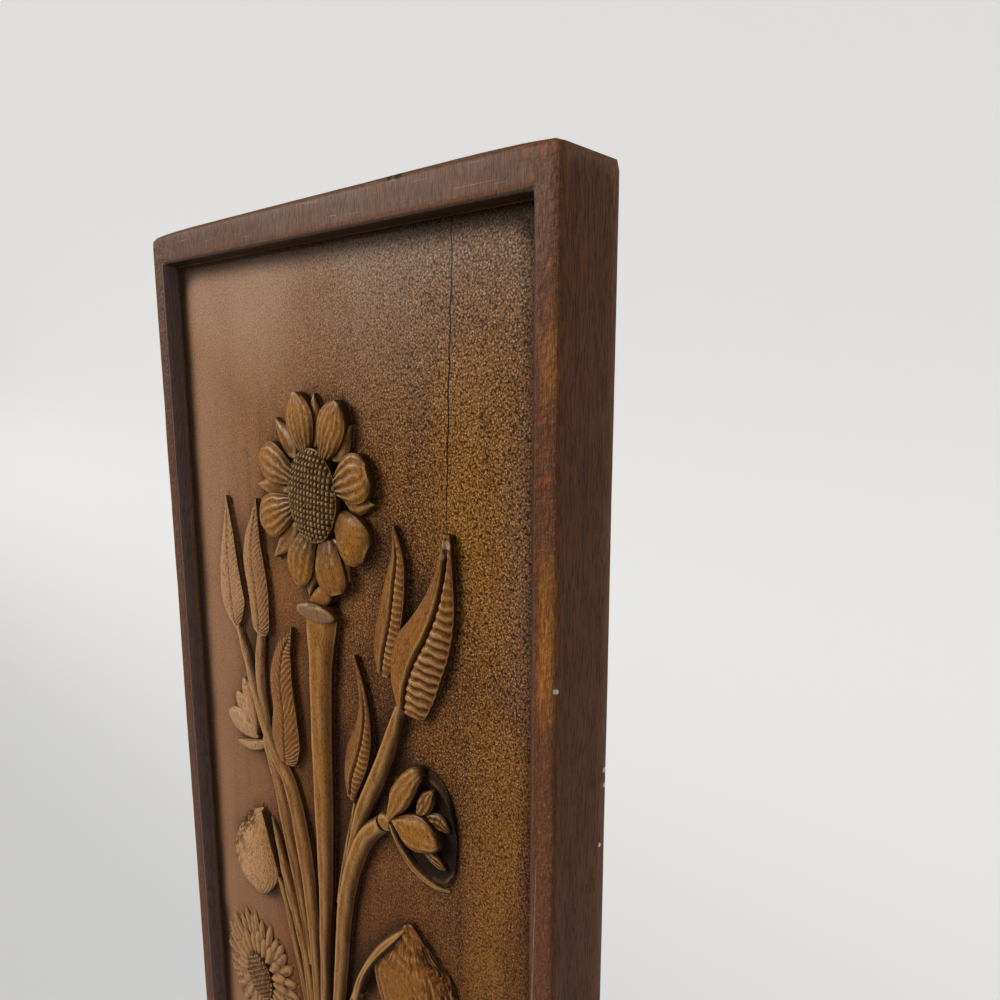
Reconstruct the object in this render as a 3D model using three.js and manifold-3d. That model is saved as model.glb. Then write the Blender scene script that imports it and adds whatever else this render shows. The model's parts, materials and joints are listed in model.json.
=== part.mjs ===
// A carved wooden wall plaque: one upright board whose front is sunk to leave a narrow raised rim,
// with a bouquet left standing in relief, a sunflower at its head.
// Millimetres, +Z up, +X to the right seen from the front, the front faces -Y.
// The origin is the middle of the flat back, where the plaque lies against the wall.
import * as THREE from "three";
import Module from "manifold-3d";

const wasm = await Module();
wasm.setup();

// The board
const plaqueWidth = 200;
const plaqueHeight = 440;
const boardThickness = 24;
const rimSideWidth = 8.2;
const rimEndWidth = 11.6;
const sunkDepth = 6.4;
const topCornerWear = 1.2;
const bottomCornerWear = 0.8;
const cornerRadius = 3;
const frontArris = 2;
const backArris = 1;
const wallSlope = 0.7;
const pocketCornerRadius = 1.5;

// How deep each piece of relief runs into the sunk ground, so that it is one with the board
const rootDepth = 1.2;

const groundY = -(boardThickness - sunkDepth);
const fieldWidth = plaqueWidth - 2 * rimSideWidth;
const fieldHeight = plaqueHeight - 2 * rimEndWidth;

// The bouquet was drawn for this field. It keeps its proportions in any other, and its heights
// are shares of the sunk depth, so nothing stands above the rim.
const drawnFieldWidth = 183.6;
const drawnFieldHeight = 416.8;
const drawnDepth = 6.4;
const bouquetScale = Math.min(fieldWidth / drawnFieldWidth, fieldHeight / drawnFieldHeight);
const reliefScale = sunkDepth / drawnDepth;

// A point of the bouquet: x across, z up from the middle of the field, height above the ground.
function carved(x, z, height) {
  return new THREE.Vector3(x * bouquetScale, groundY - height * reliefScale, z * bouquetScale);
}

// A closed solid through rings of points that have the same count. Both ends are closed by a fan.
function loft(rings) {
  const count = rings[0].length;
  const points = rings.flat();
  const triangles = [];
  for (let ring = 0; ring + 1 < rings.length; ring++) {
    for (let i = 0; i < count; i++) {
      const a = ring * count + i;
      const b = ring * count + ((i + 1) % count);
      triangles.push([a, b, b + count], [a, b + count, a + count]);
    }
  }
  const lastRing = (rings.length - 1) * count;
  const firstMiddle = points.length;
  points.push(middleOf(rings[0]), middleOf(rings.at(-1)));
  for (let i = 0; i < count; i++) {
    const next = (i + 1) % count;
    triangles.push([firstMiddle, next, i]);
    triangles.push([firstMiddle + 1, lastRing + i, lastRing + next]);
  }
  return solidFrom(points, triangles);
}

function middleOf(ring) {
  return ring.reduce((sum, p) => sum.add(p), new THREE.Vector3()).divideScalar(ring.length);
}

function solidFrom(points, triangles) {
  const volume = triangles.reduce((sum, [a, b, c]) => {
    return sum + points[a].dot(new THREE.Vector3().crossVectors(points[b], points[c]));
  }, 0);
  const facing = volume < 0 ? triangles.map(([a, b, c]) => [a, c, b]) : triangles;
  const mesh = new wasm.Mesh({
    numProp: 3,
    vertProperties: new Float32Array(points.flatMap((p) => [p.x, p.y, p.z])),
    triVerts: new Uint32Array(facing.flat()),
  });
  return new wasm.Manifold(mesh);
}

// The outline of the board or of the sunk field, as points round a rectangle with rounded corners.
// The ends are worn: they fall away towards the corners.
function outline(width, height, radius, wearTop, wearBottom, y) {
  const cornerSteps = 4;
  const endSteps = 8;
  const points = [];
  const corners = [[1, 1, 0], [-1, 1, 90], [-1, -1, 180], [1, -1, 270]];
  corners.forEach(([sideX, sideZ, startAngle]) => {
    for (let step = 0; step <= cornerSteps; step++) {
      const angle = THREE.MathUtils.degToRad(startAngle + (90 * step) / cornerSteps);
      points.push([
        sideX * (width / 2 - radius) + radius * Math.cos(angle),
        sideZ * (height / 2 - radius) + radius * Math.sin(angle),
      ]);
    }
    if (startAngle % 180 === 0) {
      for (let step = 1; step < endSteps; step++) {
        points.push([sideX * (width / 2 - radius) * (1 - (2 * step) / endSteps), (sideZ * height) / 2]);
      }
    }
  });
  return points.map(([x, z]) => {
    const fall = Math.abs((2 * x) / width) ** 8 * (z > 0 ? -wearTop : wearBottom);
    return new THREE.Vector3(x, y, z + fall * Math.abs((2 * z) / height));
  });
}

function boardOutline(inset, y) {
  return outline(
    plaqueWidth - 2 * inset,
    plaqueHeight - 2 * inset,
    cornerRadius,
    topCornerWear,
    bottomCornerWear,
    y,
  );
}

function board() {
  const roundSteps = 3;
  const rings = [boardOutline(backArris, 0), boardOutline(0, -backArris)];
  for (let step = 0; step <= roundSteps; step++) {
    const angle = (Math.PI / 2) * (step / roundSteps);
    rings.push(
      boardOutline(
        frontArris * (1 - Math.cos(angle)),
        -boardThickness + frontArris * (1 - Math.sin(angle)),
      ),
    );
  }
  const overshoot = 2;
  const growth = (wallSlope * (sunkDepth + overshoot)) / sunkDepth;
  const pocket = loft([
    outline(fieldWidth - 2 * wallSlope, fieldHeight - 2 * wallSlope, pocketCornerRadius, 0, 0, groundY),
    outline(
      fieldWidth - 2 * wallSlope + 2 * growth,
      fieldHeight - 2 * wallSlope + 2 * growth,
      pocketCornerRadius,
      0,
      0,
      -boardThickness - overshoot,
    ),
  ]);
  return loft(rings).subtract(pocket);
}

// A blade with steep edges, a crown on either side and a hollow along its midrib.
// Each stop along the midrib is [x, z, width to the left, width to the right].
function blade({ stops, crown, leftEdge, rightEdge, midrib = 0, steps = 9 }) {
  const spine = curveThrough(stops.map(([x, z]) => [x, z, 0]));
  const widths = curveThrough(stops.map(([, , left, right]) => [left, right, 0]));
  const fullWidth = Math.max(...stops.map(([, , left, right]) => left + right));
  const rings = [];
  for (let step = 0; step <= steps; step++) {
    const at = spine.getPoint(step / steps);
    const heading = spine.getTangent(step / steps);
    const [left, right] = widths.getPoint(step / steps).toArray();
    const swell = Math.min(1, (1.15 * (left + right)) / fullWidth);
    const leftHigh = leftEdge + (crown - leftEdge) * swell;
    const rightHigh = rightEdge + (crown - rightEdge) * swell;
    const section = [
      [-left, -rootDepth],
      [-left, leftEdge],
      [-left * 0.55, leftHigh],
      [0, Math.min(leftHigh, rightHigh) - midrib * swell],
      [right * 0.55, rightHigh],
      [right, rightEdge],
      [right, -rootDepth],
    ];
    rings.push(
      section.map(([offset, height]) => carved(at.x + heading.y * offset, at.y - heading.x * offset, height)),
    );
  }
  return loft(rings);
}

// A petal or sepal. `fullness` moves its widest place and a low `point` makes its end blunt.
function petal({ base, tip, bow = 0, half, crown, edge, midrib = 0, fullness = 0.6, point = 0.6, steps = 7 }) {
  const [dx, dz] = [tip[0] - base[0], tip[1] - base[1]];
  const length = Math.hypot(dx, dz);
  const skew = Math.log(0.5) / Math.log(fullness);
  const stops = Array.from({ length: steps + 1 }, (_, step) => {
    const t = step / steps;
    const width = half * Math.sin(Math.PI * (0.02 + 0.96 * t) ** skew) ** point;
    const bulge = (bow * Math.sin(Math.PI * t)) / length;
    return [base[0] + dx * t + dz * bulge, base[1] + dz * t - dx * bulge, width, width];
  });
  return blade({ stops, crown, leftEdge: edge, rightEdge: edge, midrib, steps });
}

function curveThrough(points) {
  return new THREE.CatmullRomCurve3(points.map((p) => new THREE.Vector3(...p)), false, "catmullrom", 0.5);
}

// A stem: half-round, along a smooth curve. Each stop is [x, z, half width, height].
function stem(stops, steps = 2 * stops.length) {
  const places = curveThrough(stops.map(([x, z]) => [x, z, 0]));
  const sizes = curveThrough(stops.map(([, , half, high]) => [half, high, 0]));
  const arcSteps = 3;
  const rings = [];
  for (let step = 0; step <= steps; step++) {
    const at = places.getPoint(step / steps);
    const heading = places.getTangent(step / steps);
    const [half, high] = sizes.getPoint(step / steps).toArray();
    const section = [[half, -rootDepth]];
    for (let i = 0; i <= arcSteps; i++) {
      const angle = Math.PI * (0.1 + (0.8 * i) / arcSteps);
      section.push([half * Math.cos(angle), high * Math.sin(angle) ** 0.5]);
    }
    section.push([-half, -rootDepth]);
    rings.push(
      section.map(([offset, height]) => carved(at.x + heading.y * offset, at.y - heading.x * offset, height)),
    );
  }
  return loft(rings);
}

// A low dome with an oval plan. The profile gives shares of its radii and heights above the ground.
function dome(x, z, halfWidth, halfHeight, profile, sides = 20) {
  return loft(
    [[1, -rootDepth], ...profile].map(([share, height]) => {
      return Array.from({ length: sides }, (_, i) => {
        const angle = (2 * Math.PI * i) / sides;
        return carved(x + halfWidth * share * Math.cos(angle), z + halfHeight * share * Math.sin(angle), height);
      });
    }),
  );
}

function polar([x, z], angle, reach) {
  const turn = THREE.MathUtils.degToRad(angle);
  return [x + reach * Math.cos(turn), z + reach * Math.sin(turn)];
}

// The sunflower: an oval seed head, eight broad petals, and the points of eight sepals behind them.
const sunflowerAt = [-3.4, 127.2];
const seedHeadHalfWidth = 13.3;
const seedHeadHalfHeight = 15.8;
// Each petal is [angle, reach, half width, fullness, point].
const sunflowerPetals = [
  [103, 34.6, 8.2, 0.58, 0.75],
  [64, 34.7, 7.8, 0.6, 0.7],
  [19, 31, 9.2, 0.66, 0.42],
  [-31, 31, 9.4, 0.68, 0.36],
  [-72, 34, 8.6, 0.68, 0.45],
  [-110, 34.2, 8, 0.62, 0.6],
  [-159, 34, 8, 0.66, 0.46],
  [158, 32.2, 7.4, 0.66, 0.46],
];
// Each sepal is [angle, reach].
const sunflowerSepals = [
  [132, 33.5],
  [89, 33.6],
  [51, 31],
  [0, 29.6],
  [-58, 31.5],
  [-100, 37],
  [-137, 37],
  [179, 35.7],
];

function sunflower() {
  const sepals = sunflowerSepals.map(([angle, reach]) =>
    petal({
      base: polar(sunflowerAt, angle, 16),
      tip: polar(sunflowerAt, angle, reach),
      half: 4.6,
      crown: 2.8,
      edge: 1.4,
      fullness: 0.35,
      point: 1,
      steps: 3,
    }),
  );
  const petals = sunflowerPetals.map(([angle, reach, half, fullness, point]) =>
    petal({
      base: polar(sunflowerAt, angle, 9),
      tip: polar(sunflowerAt, angle, reach),
      half,
      crown: 5,
      edge: 2.8,
      fullness,
      point,
    }),
  );
  const seedHead = dome(...sunflowerAt, seedHeadHalfWidth, seedHeadHalfHeight, [
    [1, 3.6],
    [0.95, 4.9],
    [0.76, 5.8],
    [0.4, 6.25],
  ]);
  return [...sepals, ...petals, seedHead];
}

// The main stem flares to a collar under the flower and thins towards the tie.
const tieAt = [-11, -112];
const mainStem = [
  [-3.2, 84, 8.6, 4.4],
  [-4.2, 68, 6, 4.6],
  [-5.4, 40, 5.3, 4.4],
  [-5.8, 12, 4.8, 4.2],
  [-6.8, -17, 3.6, 3.8],
  [-9, -46, 2.5, 3.4],
  [-10.4, -80, 2.4, 3.4],
  [-11, -112, 2.4, 3.4],
];
const collarAt = [-3.2, 86.8];
const collarHalfWidth = 11;
const collarHalfHeight = 3.2;

// The side stems, each from its leaf or flower down to the tie.
const sideStems = [
  [[-59, 69, 1.6, 2], [-53, 57, 2, 2.6], [-47.5, 44, 2.6, 3], [-38, 26, 3.2, 3], [-27, 14, 4, 3.2],
    [-20.4, -8, 4.4, 3.2], [-16.5, -34, 3.2, 3.2], [-14.4, -70, 2.4, 3.2], [-12.4, -108, 2.2, 3.2]],
  [[-44, 72, 1.6, 2], [-46, 58, 2, 2.4], [-46, 44, 2.2, 2.6]],
  [[-43, 26, 2, 2.4], [-36, 12, 3.4, 2.4], [-30.5, -8, 3.6, 2.4], [-25, -28, 3, 2.2], [-19, -56, 2, 2.2]],
  [[-37, -22, 2.4, 2.6], [-34.6, -30, 3.2, 3], [-30.4, -40, 3.4, 3], [-24, -56, 3, 3], [-14.4, -106, 2.2, 3]],
  [[-40, -38, 1.6, 1.8], [-36, -47, 2, 1.8], [-30.5, -60, 2, 1.8], [-22, -84, 1.8, 1.8]],
  [[36.4, 65, 2, 3], [31.4, 52, 3, 3.6], [25.4, 39, 3.4, 3.8], [17, 24, 3.2, 3.4], [10.5, 8, 2.4, 3],
    [5.4, -12, 2.4, 3], [1, -32, 2.4, 3]],
  [[12, 23, 1, 2.2], [8.5, 10, 1.2, 2.4], [5, -3, 1.4, 2.6], [1, -20, 1.4, 2.6]],
  [[25.8, 21, 3, 3.6], [18.4, 14, 3.6, 3.8], [13.4, 6, 3.8, 3.8], [8, -7, 3.8, 3.8], [3.6, -24, 3.8, 3.6],
    [0.8, -44, 3.5, 3.4], [-4, -76, 2.8, 3.2], [-9.4, -110, 2.2, 3.2]],
  [[24, -30, 2, 2.8], [17.5, -37, 2.8, 3.2], [10, -50, 2.8, 3.2], [2.4, -70, 2.4, 3.2], [-7.6, -108, 2.2, 3.2]],
  [[-40, -94, 2.2, 2.6], [-30, -101, 2.4, 2.6], [-15, -112, 2.2, 2.8]],
  [[28, -98, 2.2, 2.6], [14, -104, 2.4, 2.6], [-6, -112, 2.2, 2.8]],
];

// The leaves, each from its base to its tip.
const leaves = [
  { crown: 3, leftEdge: 1.4, rightEdge: 1.6, midrib: 0.6,
    stops: [[-60, 68.5, 2.4, 1.5], [-61.5, 75, 8, 5], [-62.6, 84, 10.2, 7.2], [-63.4, 96, 9.4, 5.4],
      [-63.8, 108, 6.8, 4], [-64.4, 122.5, 0.5, 0.5]] },
  { crown: 3, leftEdge: 1.6, rightEdge: 1.6, midrib: 0.8,
    stops: [[-44, 70.5, 3, 3.6], [-44.3, 77, 5, 7.4], [-45.2, 87, 7.4, 8.6], [-46.2, 99, 8.4, 7],
      [-46, 110, 6.4, 5], [-43.5, 122.5, 0.5, 0.5]] },
  { crown: 3.8, leftEdge: 2.2, rightEdge: 2, midrib: 0.5,
    stops: [[-30, 24.5, 4, 4.5], [-29.6, 31, 8.4, 8.6], [-29.3, 43, 9, 7.8], [-28.8, 56, 7.6, 6.6],
      [-27, 67, 4, 4.6], [-24.4, 77, 0.5, 0.5]] },
  { crown: 3.4, leftEdge: 1.8, rightEdge: 2, midrib: 0.8,
    stops: [[28, 73.5, 3, 3], [29.6, 81, 5.8, 5], [32.6, 91, 6.6, 4.6], [34.8, 102, 5.6, 4.4],
      [36.2, 112, 3.2, 3.2], [35, 122, 0.5, 0.5]] },
  { crown: 4.6, leftEdge: 3, rightEdge: 1.6, midrib: 1.4,
    stops: [[38.5, 65, 3, 5], [40.6, 74, 7.6, 11], [44.4, 82, 9.6, 11.2], [50, 91, 8.2, 9.4],
      [54.4, 101, 5.6, 6.2], [57, 112, 2.6, 3], [58.3, 122.5, 0.6, 0.6]] },
  { crown: 3.4, leftEdge: 1.8, rightEdge: 2, midrib: 0.9,
    stops: [[9.3, 24, 1.6, 2], [10.9, 31, 4.6, 4], [14.6, 40, 6.6, 4.6], [18.2, 50, 5.6, 3.4],
      [18.8, 59, 4, 2], [14, 73, 0.5, 0.5]] },
];

// The broad leaf that droops on the left. Its like on the right is its mirror image, a little lower.
const droopingStops = [
  [-35, -23, 6, 2],
  [-39, -21.5, 12, 8],
  [-44, -20.5, 17, 13.5],
  [-49, -21, 19.5, 15.8],
  [-56, -24.5, 17, 14.5],
  [-63, -29.5, 13, 10.5],
  [-69, -34.5, 7, 6],
  [-72, -38, 1, 1],
];
const mirrorLine = -6.5;
const mirrorDrop = 6.5;

function droopingLeaves() {
  const mirrored = droopingStops.map(([x, z, left, right]) => [2 * mirrorLine - x, z - mirrorDrop, right, left]);
  const shape = { crown: 4.2, midrib: 0.3, steps: 12 };
  return [
    blade({ ...shape, stops: droopingStops, leftEdge: 2.6, rightEdge: 1.8 }),
    blade({ ...shape, stops: mirrored, leftEdge: 1.8, rightEdge: 2.6 }),
  ];
}

// The two half-open buds: low back petals, a long sepal underneath and two raised front petals.
const buds = [
  { base: [33, 23], tip: [56, 30], half: 13, crown: 1.5, edge: 0.8, point: 0.45 },
  { base: [36, 28], tip: [50.5, 41.5], half: 4, crown: 2.8, edge: 1.6 },
  { base: [38, 25], tip: [56.2, 30.4], half: 5.2, crown: 2.6, edge: 1.6 },
  { base: [36, 22], tip: [57.4, 15.6], half: 4.6, crown: 2.2, edge: 1.4 },
  { base: [31, 23], tip: [55.6, 11.4], bow: 1.4, half: 2.8, crown: 3, edge: 1.8, fullness: 0.4 },
  { base: [33.6, 25.6], tip: [46, 46.8], bow: -1.6, half: 4.4, crown: 4.6, edge: 2.8 },
  { base: [33, 25], tip: [52.4, 25.6], half: 5.8, crown: 5, edge: 3, point: 0.45 },
  { base: [-47, 29], tip: [-66, 41], half: 5, crown: 2, edge: 1 },
  { base: [-43.5, 26], tip: [-67, 18.6], bow: -2, half: 2.4, crown: 2.4, edge: 1.2, fullness: 0.4 },
  { base: [-45, 28.5], tip: [-60, 48.4], bow: 1, half: 4.6, crown: 3.4, edge: 2 },
  { base: [-44.5, 28], tip: [-69.6, 31.4], half: 5.2, crown: 3.6, edge: 2.2, point: 0.5 },
];

// Two asters low in the bouquet: a textured button in a ring of narrow petals.
const asters = [[-55, -81], [42, -86]];
const asterPetals = 14;

function aster([x, z]) {
  const petals = Array.from({ length: asterPetals }, (_, i) => {
    const angle = (360 * i) / asterPetals;
    return petal({
      base: polar([x, z], angle, 9),
      tip: polar([x, z], angle, 25),
      half: 3.4,
      crown: 3.4,
      edge: 1.8,
      fullness: 0.6,
      steps: 3,
    });
  });
  return [...petals, dome(x, z, 12, 12, [[1, 2.6], [0.9, 4.2], [0.5, 5]], 14)];
}

// Under the tie the stems spread again, between two plain leaves.
const stemEnds = [-9, -4, 0.5, 5, 9.5];
const stemEndDrop = 46;
const footLeaves = [
  { base: [-17, -122], tip: [-58, -148], bow: 5, half: 8, crown: 3.6, edge: 1.8, midrib: 0.8, fullness: 0.4 },
  { base: [-5, -122], tip: [37, -150], bow: -5, half: 8, crown: 3.6, edge: 1.8, midrib: 0.8, fullness: 0.4 },
];

function stemEndsBelowTie() {
  const [tieX, tieZ] = tieAt;
  return stemEnds.map((spread) => {
    const endZ = tieZ - stemEndDrop + Math.abs(spread) * 0.6;
    const stops = [
      [tieX + spread * 0.3, tieZ, 2.2, 3.2],
      [tieX + spread * 0.6, tieZ - 16, 2.2, 3.2],
      [tieX + spread * 1.7, endZ, 2.6, 3],
    ];
    return stem(stops, 5);
  });
}

function tie() {
  const [x, z] = tieAt;
  return stem([[x - 8.5, z - 3, 4.4, 3], [x, z - 4, 4.6, 4.8], [x + 8.5, z - 3, 4.4, 3]], 5);
}

function collar() {
  return dome(...collarAt, collarHalfWidth, collarHalfHeight, [[1, 3.2], [0.9, 4.8], [0.5, 5.2]], 12);
}

const relief = [
  ...sideStems.map((stops) => stem(stops)),
  ...footLeaves.map((leaf) => petal(leaf)),
  ...stemEndsBelowTie(),
  tie(),
  ...leaves.map((leaf) => blade(leaf)),
  ...droopingLeaves(),
  ...buds.map((bud) => petal({ fullness: 0.55, point: 0.55, steps: 5, ...bud })),
  ...asters.flatMap((place) => aster(place)),
  stem(mainStem),
  collar(),
  ...sunflower(),
];

const carving = wasm.Manifold.union([board(), ...relief]);
const shell = carving.getMesh();
const geometry = new THREE.BufferGeometry();
geometry.setAttribute("position", new THREE.BufferAttribute(shell.vertProperties, shell.numProp));
geometry.setIndex(new THREE.BufferAttribute(shell.triVerts, 1));
geometry.computeVertexNormals();

const wood = new THREE.MeshStandardMaterial({ color: 0x6b452b, roughness: 0.55, metalness: 0 });
const plaque = new THREE.Mesh(geometry, wood);
plaque.name = "carved_plaque";

const group = new THREE.Group();
group.add(plaque);
export default group;
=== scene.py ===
"""A carved wooden wall plaque: a plank with a raised rim, a stippled sunk field and a bouquet in relief."""

import json
import math

import bmesh
import bpy
import numpy as np
from bpy.props import FloatProperty, FloatVectorProperty, PointerProperty
from mathutils import Matrix, Vector, noise

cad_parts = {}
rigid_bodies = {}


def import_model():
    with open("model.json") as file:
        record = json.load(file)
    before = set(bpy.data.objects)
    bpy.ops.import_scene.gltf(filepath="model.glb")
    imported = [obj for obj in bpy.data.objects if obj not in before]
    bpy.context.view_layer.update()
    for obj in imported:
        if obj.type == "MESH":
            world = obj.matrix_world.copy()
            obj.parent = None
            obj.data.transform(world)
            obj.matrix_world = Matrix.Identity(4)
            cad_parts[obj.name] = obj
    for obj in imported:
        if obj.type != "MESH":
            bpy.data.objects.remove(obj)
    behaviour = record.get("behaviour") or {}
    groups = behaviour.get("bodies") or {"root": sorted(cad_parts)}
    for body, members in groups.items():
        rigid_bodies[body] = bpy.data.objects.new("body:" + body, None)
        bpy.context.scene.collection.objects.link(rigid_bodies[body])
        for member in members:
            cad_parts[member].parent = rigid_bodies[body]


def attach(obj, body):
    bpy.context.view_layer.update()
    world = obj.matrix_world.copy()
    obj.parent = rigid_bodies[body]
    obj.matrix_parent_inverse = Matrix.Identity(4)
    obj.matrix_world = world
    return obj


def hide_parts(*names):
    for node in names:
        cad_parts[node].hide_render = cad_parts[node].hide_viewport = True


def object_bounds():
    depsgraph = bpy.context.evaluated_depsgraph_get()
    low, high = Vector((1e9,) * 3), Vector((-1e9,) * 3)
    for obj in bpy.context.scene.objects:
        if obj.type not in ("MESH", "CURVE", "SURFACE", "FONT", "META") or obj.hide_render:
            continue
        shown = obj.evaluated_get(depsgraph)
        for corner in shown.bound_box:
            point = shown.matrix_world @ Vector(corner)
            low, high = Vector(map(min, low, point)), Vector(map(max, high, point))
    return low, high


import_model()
CAD_BOX = [[float(v) for v in corner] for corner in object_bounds()]
LOW, HIGH = CAD_BOX

bl_info = {
    "name": "Carved wall plaque",
    "version": (1, 0, 0),
    "blender": (4, 5, 0),
    "location": "View3D > Sidebar > Plaque",
    "description": "Builds a carved wooden wall plaque with a bouquet in low relief",
    "category": "Add Mesh",
}

MM = 0.001
PER_METRE = 1000
SLOT = "stained_wood"

# The places below are in millimetres: x to the right, z up, both from the middle of the board,
# and heights above the sunk ground.

# The sunflower. Each petal is (angle, reach, half width, fullness, point, flutes, flute depth, dome).
FLOWER_AT = (-3.4, 127.2)
SEED_HEAD = (13.3, 15.8)
FLOWER_PETALS = [
    (103, 34.6, 7.5, 0.63, 0.80, 6, 0.30, 0.2),
    (64, 34.7, 7.0, 0.65, 0.76, 6, 0.30, 0.2),
    (19, 30.4, 7.9, 0.68, 0.42, 5, 0.60, 0.5),
    (-31, 30.6, 8.2, 0.70, 0.36, 3, 0.10, 1.3),
    (-72, 33.6, 7.8, 0.70, 0.42, 3, 0.18, 1.1),
    (-110, 34.0, 7.3, 0.64, 0.52, 4, 0.26, 0.9),
    (-159, 34.0, 7.6, 0.68, 0.44, 5, 0.50, 0.5),
    (158, 32.2, 7.1, 0.68, 0.44, 4, 0.45, 0.5),
]
# The petals whose bases dip low behind the seed head, and how far; the others dip less
HOODED = range(3, 6)
HOODED_DROP, PETAL_DROP = 2.2, 1.1
FLOWER_SEPALS = [
    (132, 33.5), (89, 33.6), (51, 31), (0, 29.6), (-58, 31.5), (-100, 37), (-137, 37), (179, 35.7),
]

# Stems: each stop is (x, z, half width, height).
TIE_AT = (-11, -112)
MAIN_STEM = [
    (-3.2, 87, 8.8, 4.2), (-3.5, 82, 8.2, 4.4), (-4.2, 68, 6, 4.6), (-5.4, 40, 5.3, 4.4),
    (-5.8, 12, 4.8, 4.2), (-6.8, -17, 3.6, 3.8), (-9, -46, 2.5, 3.4), (-10.4, -80, 2.4, 3.4),
    (-11, -112, 2.4, 3.4),
]
SIDE_STEMS = [
    [(-59, 69, 1.6, 2), (-53, 57, 2, 2.6), (-47.5, 44, 2.6, 3), (-38, 26, 3.2, 3), (-27, 14, 4, 3.2),
     (-20.4, -8, 4.4, 3.2), (-16.5, -34, 3.2, 3.2), (-14.4, -70, 2.4, 3.2), (-12.4, -108, 2.2, 3.2)],
    [(-42.4, 72, 2.2, 2.2), (-44.6, 60, 2.6, 2.4), (-44.6, 46, 2.6, 2.4), (-42, 34, 2.4, 2.4)],
    [(-43, 26, 2, 2.4), (-36, 12, 3.4, 2.4), (-30.5, -8, 3.6, 2.4), (-25, -28, 3, 2.2), (-19, -56, 2, 2.2)],
    [(-43, -5, 0.6, 0.9), (-38.6, -13, 1.5, 2), (-34.8, -21, 2.3, 2.6), (-30.6, -31, 3, 3),
     (-26, -42, 3.2, 3), (-21, -58, 3, 3), (-14.4, -106, 2.2, 3)],
    [(-39.4, -26, 0.8, 2.8), (-35.4, -31.6, 1.7, 2.8), (-32.4, -41, 2, 2.6), (-28, -56, 2, 2.4),
     (-21, -84, 1.8, 2)],
    [(36.4, 65, 2, 3), (31.4, 52, 3, 3.6), (25.4, 39, 3.4, 3.8), (17, 24, 3.2, 3.4), (10.5, 8, 2.4, 3),
     (5.4, -12, 2.4, 3), (1, -32, 2.4, 3)],
    [(12, 23, 1, 2.2), (8.5, 10, 1.2, 2.4), (5, -3, 1.4, 2.6), (1, -20, 1.4, 2.6)],
    [(25.8, 21, 3, 3.6), (18.4, 14, 3.6, 3.8), (13.4, 6, 3.8, 3.8), (8, -7, 3.8, 3.8), (3.6, -24, 3.8, 3.6),
     (0.8, -44, 3.5, 3.4), (-4, -76, 2.8, 3.2), (-9.4, -110, 2.2, 3.2)],
    [(10.4, -50, 2.2, 3.2), (6.4, -60, 2.4, 3.2), (2.4, -70, 2.4, 3.2), (-7.6, -108, 2.2, 3.2)],
    [(-40, -94, 2.2, 2.6), (-30, -101, 2.4, 2.6), (-15, -112, 2.2, 2.8)],
    [(28, -98, 2.2, 2.6), (14, -104, 2.4, 2.6), (-6, -112, 2.2, 2.8)],
]
STEM_ENDS = (-9, -4, 0.5, 5, 9.5)
STEM_END_DROP = 46

# Leaves: stops are (x, z, width left, width right). `veins` are fine cuts on both halves and
# `ribs` deep waves on the right half.
LEAVES = [
    dict(name="leaf_outer_left", crown=2.8, left=1.2, right=1.8, midrib=0.6, veins=2.0, ribs=0,
         stops=[(-60, 68.5, 1.6, 1.6), (-61, 74, 6.6, 6.2), (-61.8, 80, 9, 8.8), (-62.4, 88, 8.7, 7.5),
                (-63, 97, 6.9, 6), (-63, 107, 3.8, 4.4), (-62.6, 121, 0.5, 0.5)]),
    dict(name="leaf_inner_left", crown=2.9, left=1.2, right=1.8, midrib=0.6, veins=2.0, ribs=0,
         stops=[(-42.3, 70, 3.4, 3.4), (-42.5, 73, 6.2, 5.8), (-43, 80, 6.8, 6.8), (-44, 88, 7, 7.8),
                (-45.3, 97, 7.5, 7.4), (-45, 105, 6.2, 5.6), (-43.5, 113, 3.4, 3.2),
                (-41.4, 122, 0.5, 0.5)]),
    dict(name="leaf_low_left", crown=3.2, left=1.8, right=2.2, midrib=0.6, veins=2.3, ribs=0,
         stops=[(-29, 23.5, 5, 4.5), (-28.8, 27, 7.6, 7.6), (-28.8, 33, 9.2, 9.2), (-28.6, 43, 7.8, 7.8),
                (-29.6, 55, 7.7, 7), (-27.8, 66, 4.8, 5.2), (-24.5, 72, 2.2, 2.4), (-21.8, 77, 0.5, 0.5)]),
    dict(name="leaf_inner_right", crown=3.2, left=1.6, right=2.2, midrib=0.9, veins=0, ribs=2.3,
         stops=[(28, 73.5, 3, 3), (29.6, 81, 5.8, 5), (32.6, 91, 6.4, 4.8), (34.8, 102, 5.2, 4.6),
                (36.2, 112, 3, 3.2), (35, 122, 0.5, 0.5)]),
    dict(name="leaf_outer_right", crown=4.2, left=2.8, right=2.2, midrib=1.5, veins=0, ribs=3.05,
         stops=[(38.5, 64.5, 3, 4.6), (39.2, 67, 4.6, 9), (40.8, 74, 7.8, 11), (44.4, 82, 9.8, 10.8),
                (50, 91, 8.2, 9), (54.4, 101, 5.6, 6.2), (57, 112, 2.8, 3), (58.3, 122.5, 0.8, 0.8)]),
    dict(name="leaf_low_right", crown=3.2, left=1.8, right=2, midrib=0.8, veins=0, ribs=2.3,
         stops=[(9.3, 24, 1.6, 2), (10.9, 31, 4.6, 4), (14.4, 40, 6.2, 4.8), (17.6, 49, 5, 3.8),
                (18.6, 58, 3.2, 2.2), (17, 67, 1.6, 1.3), (13.6, 76, 0.5, 0.5)]),
]

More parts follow.
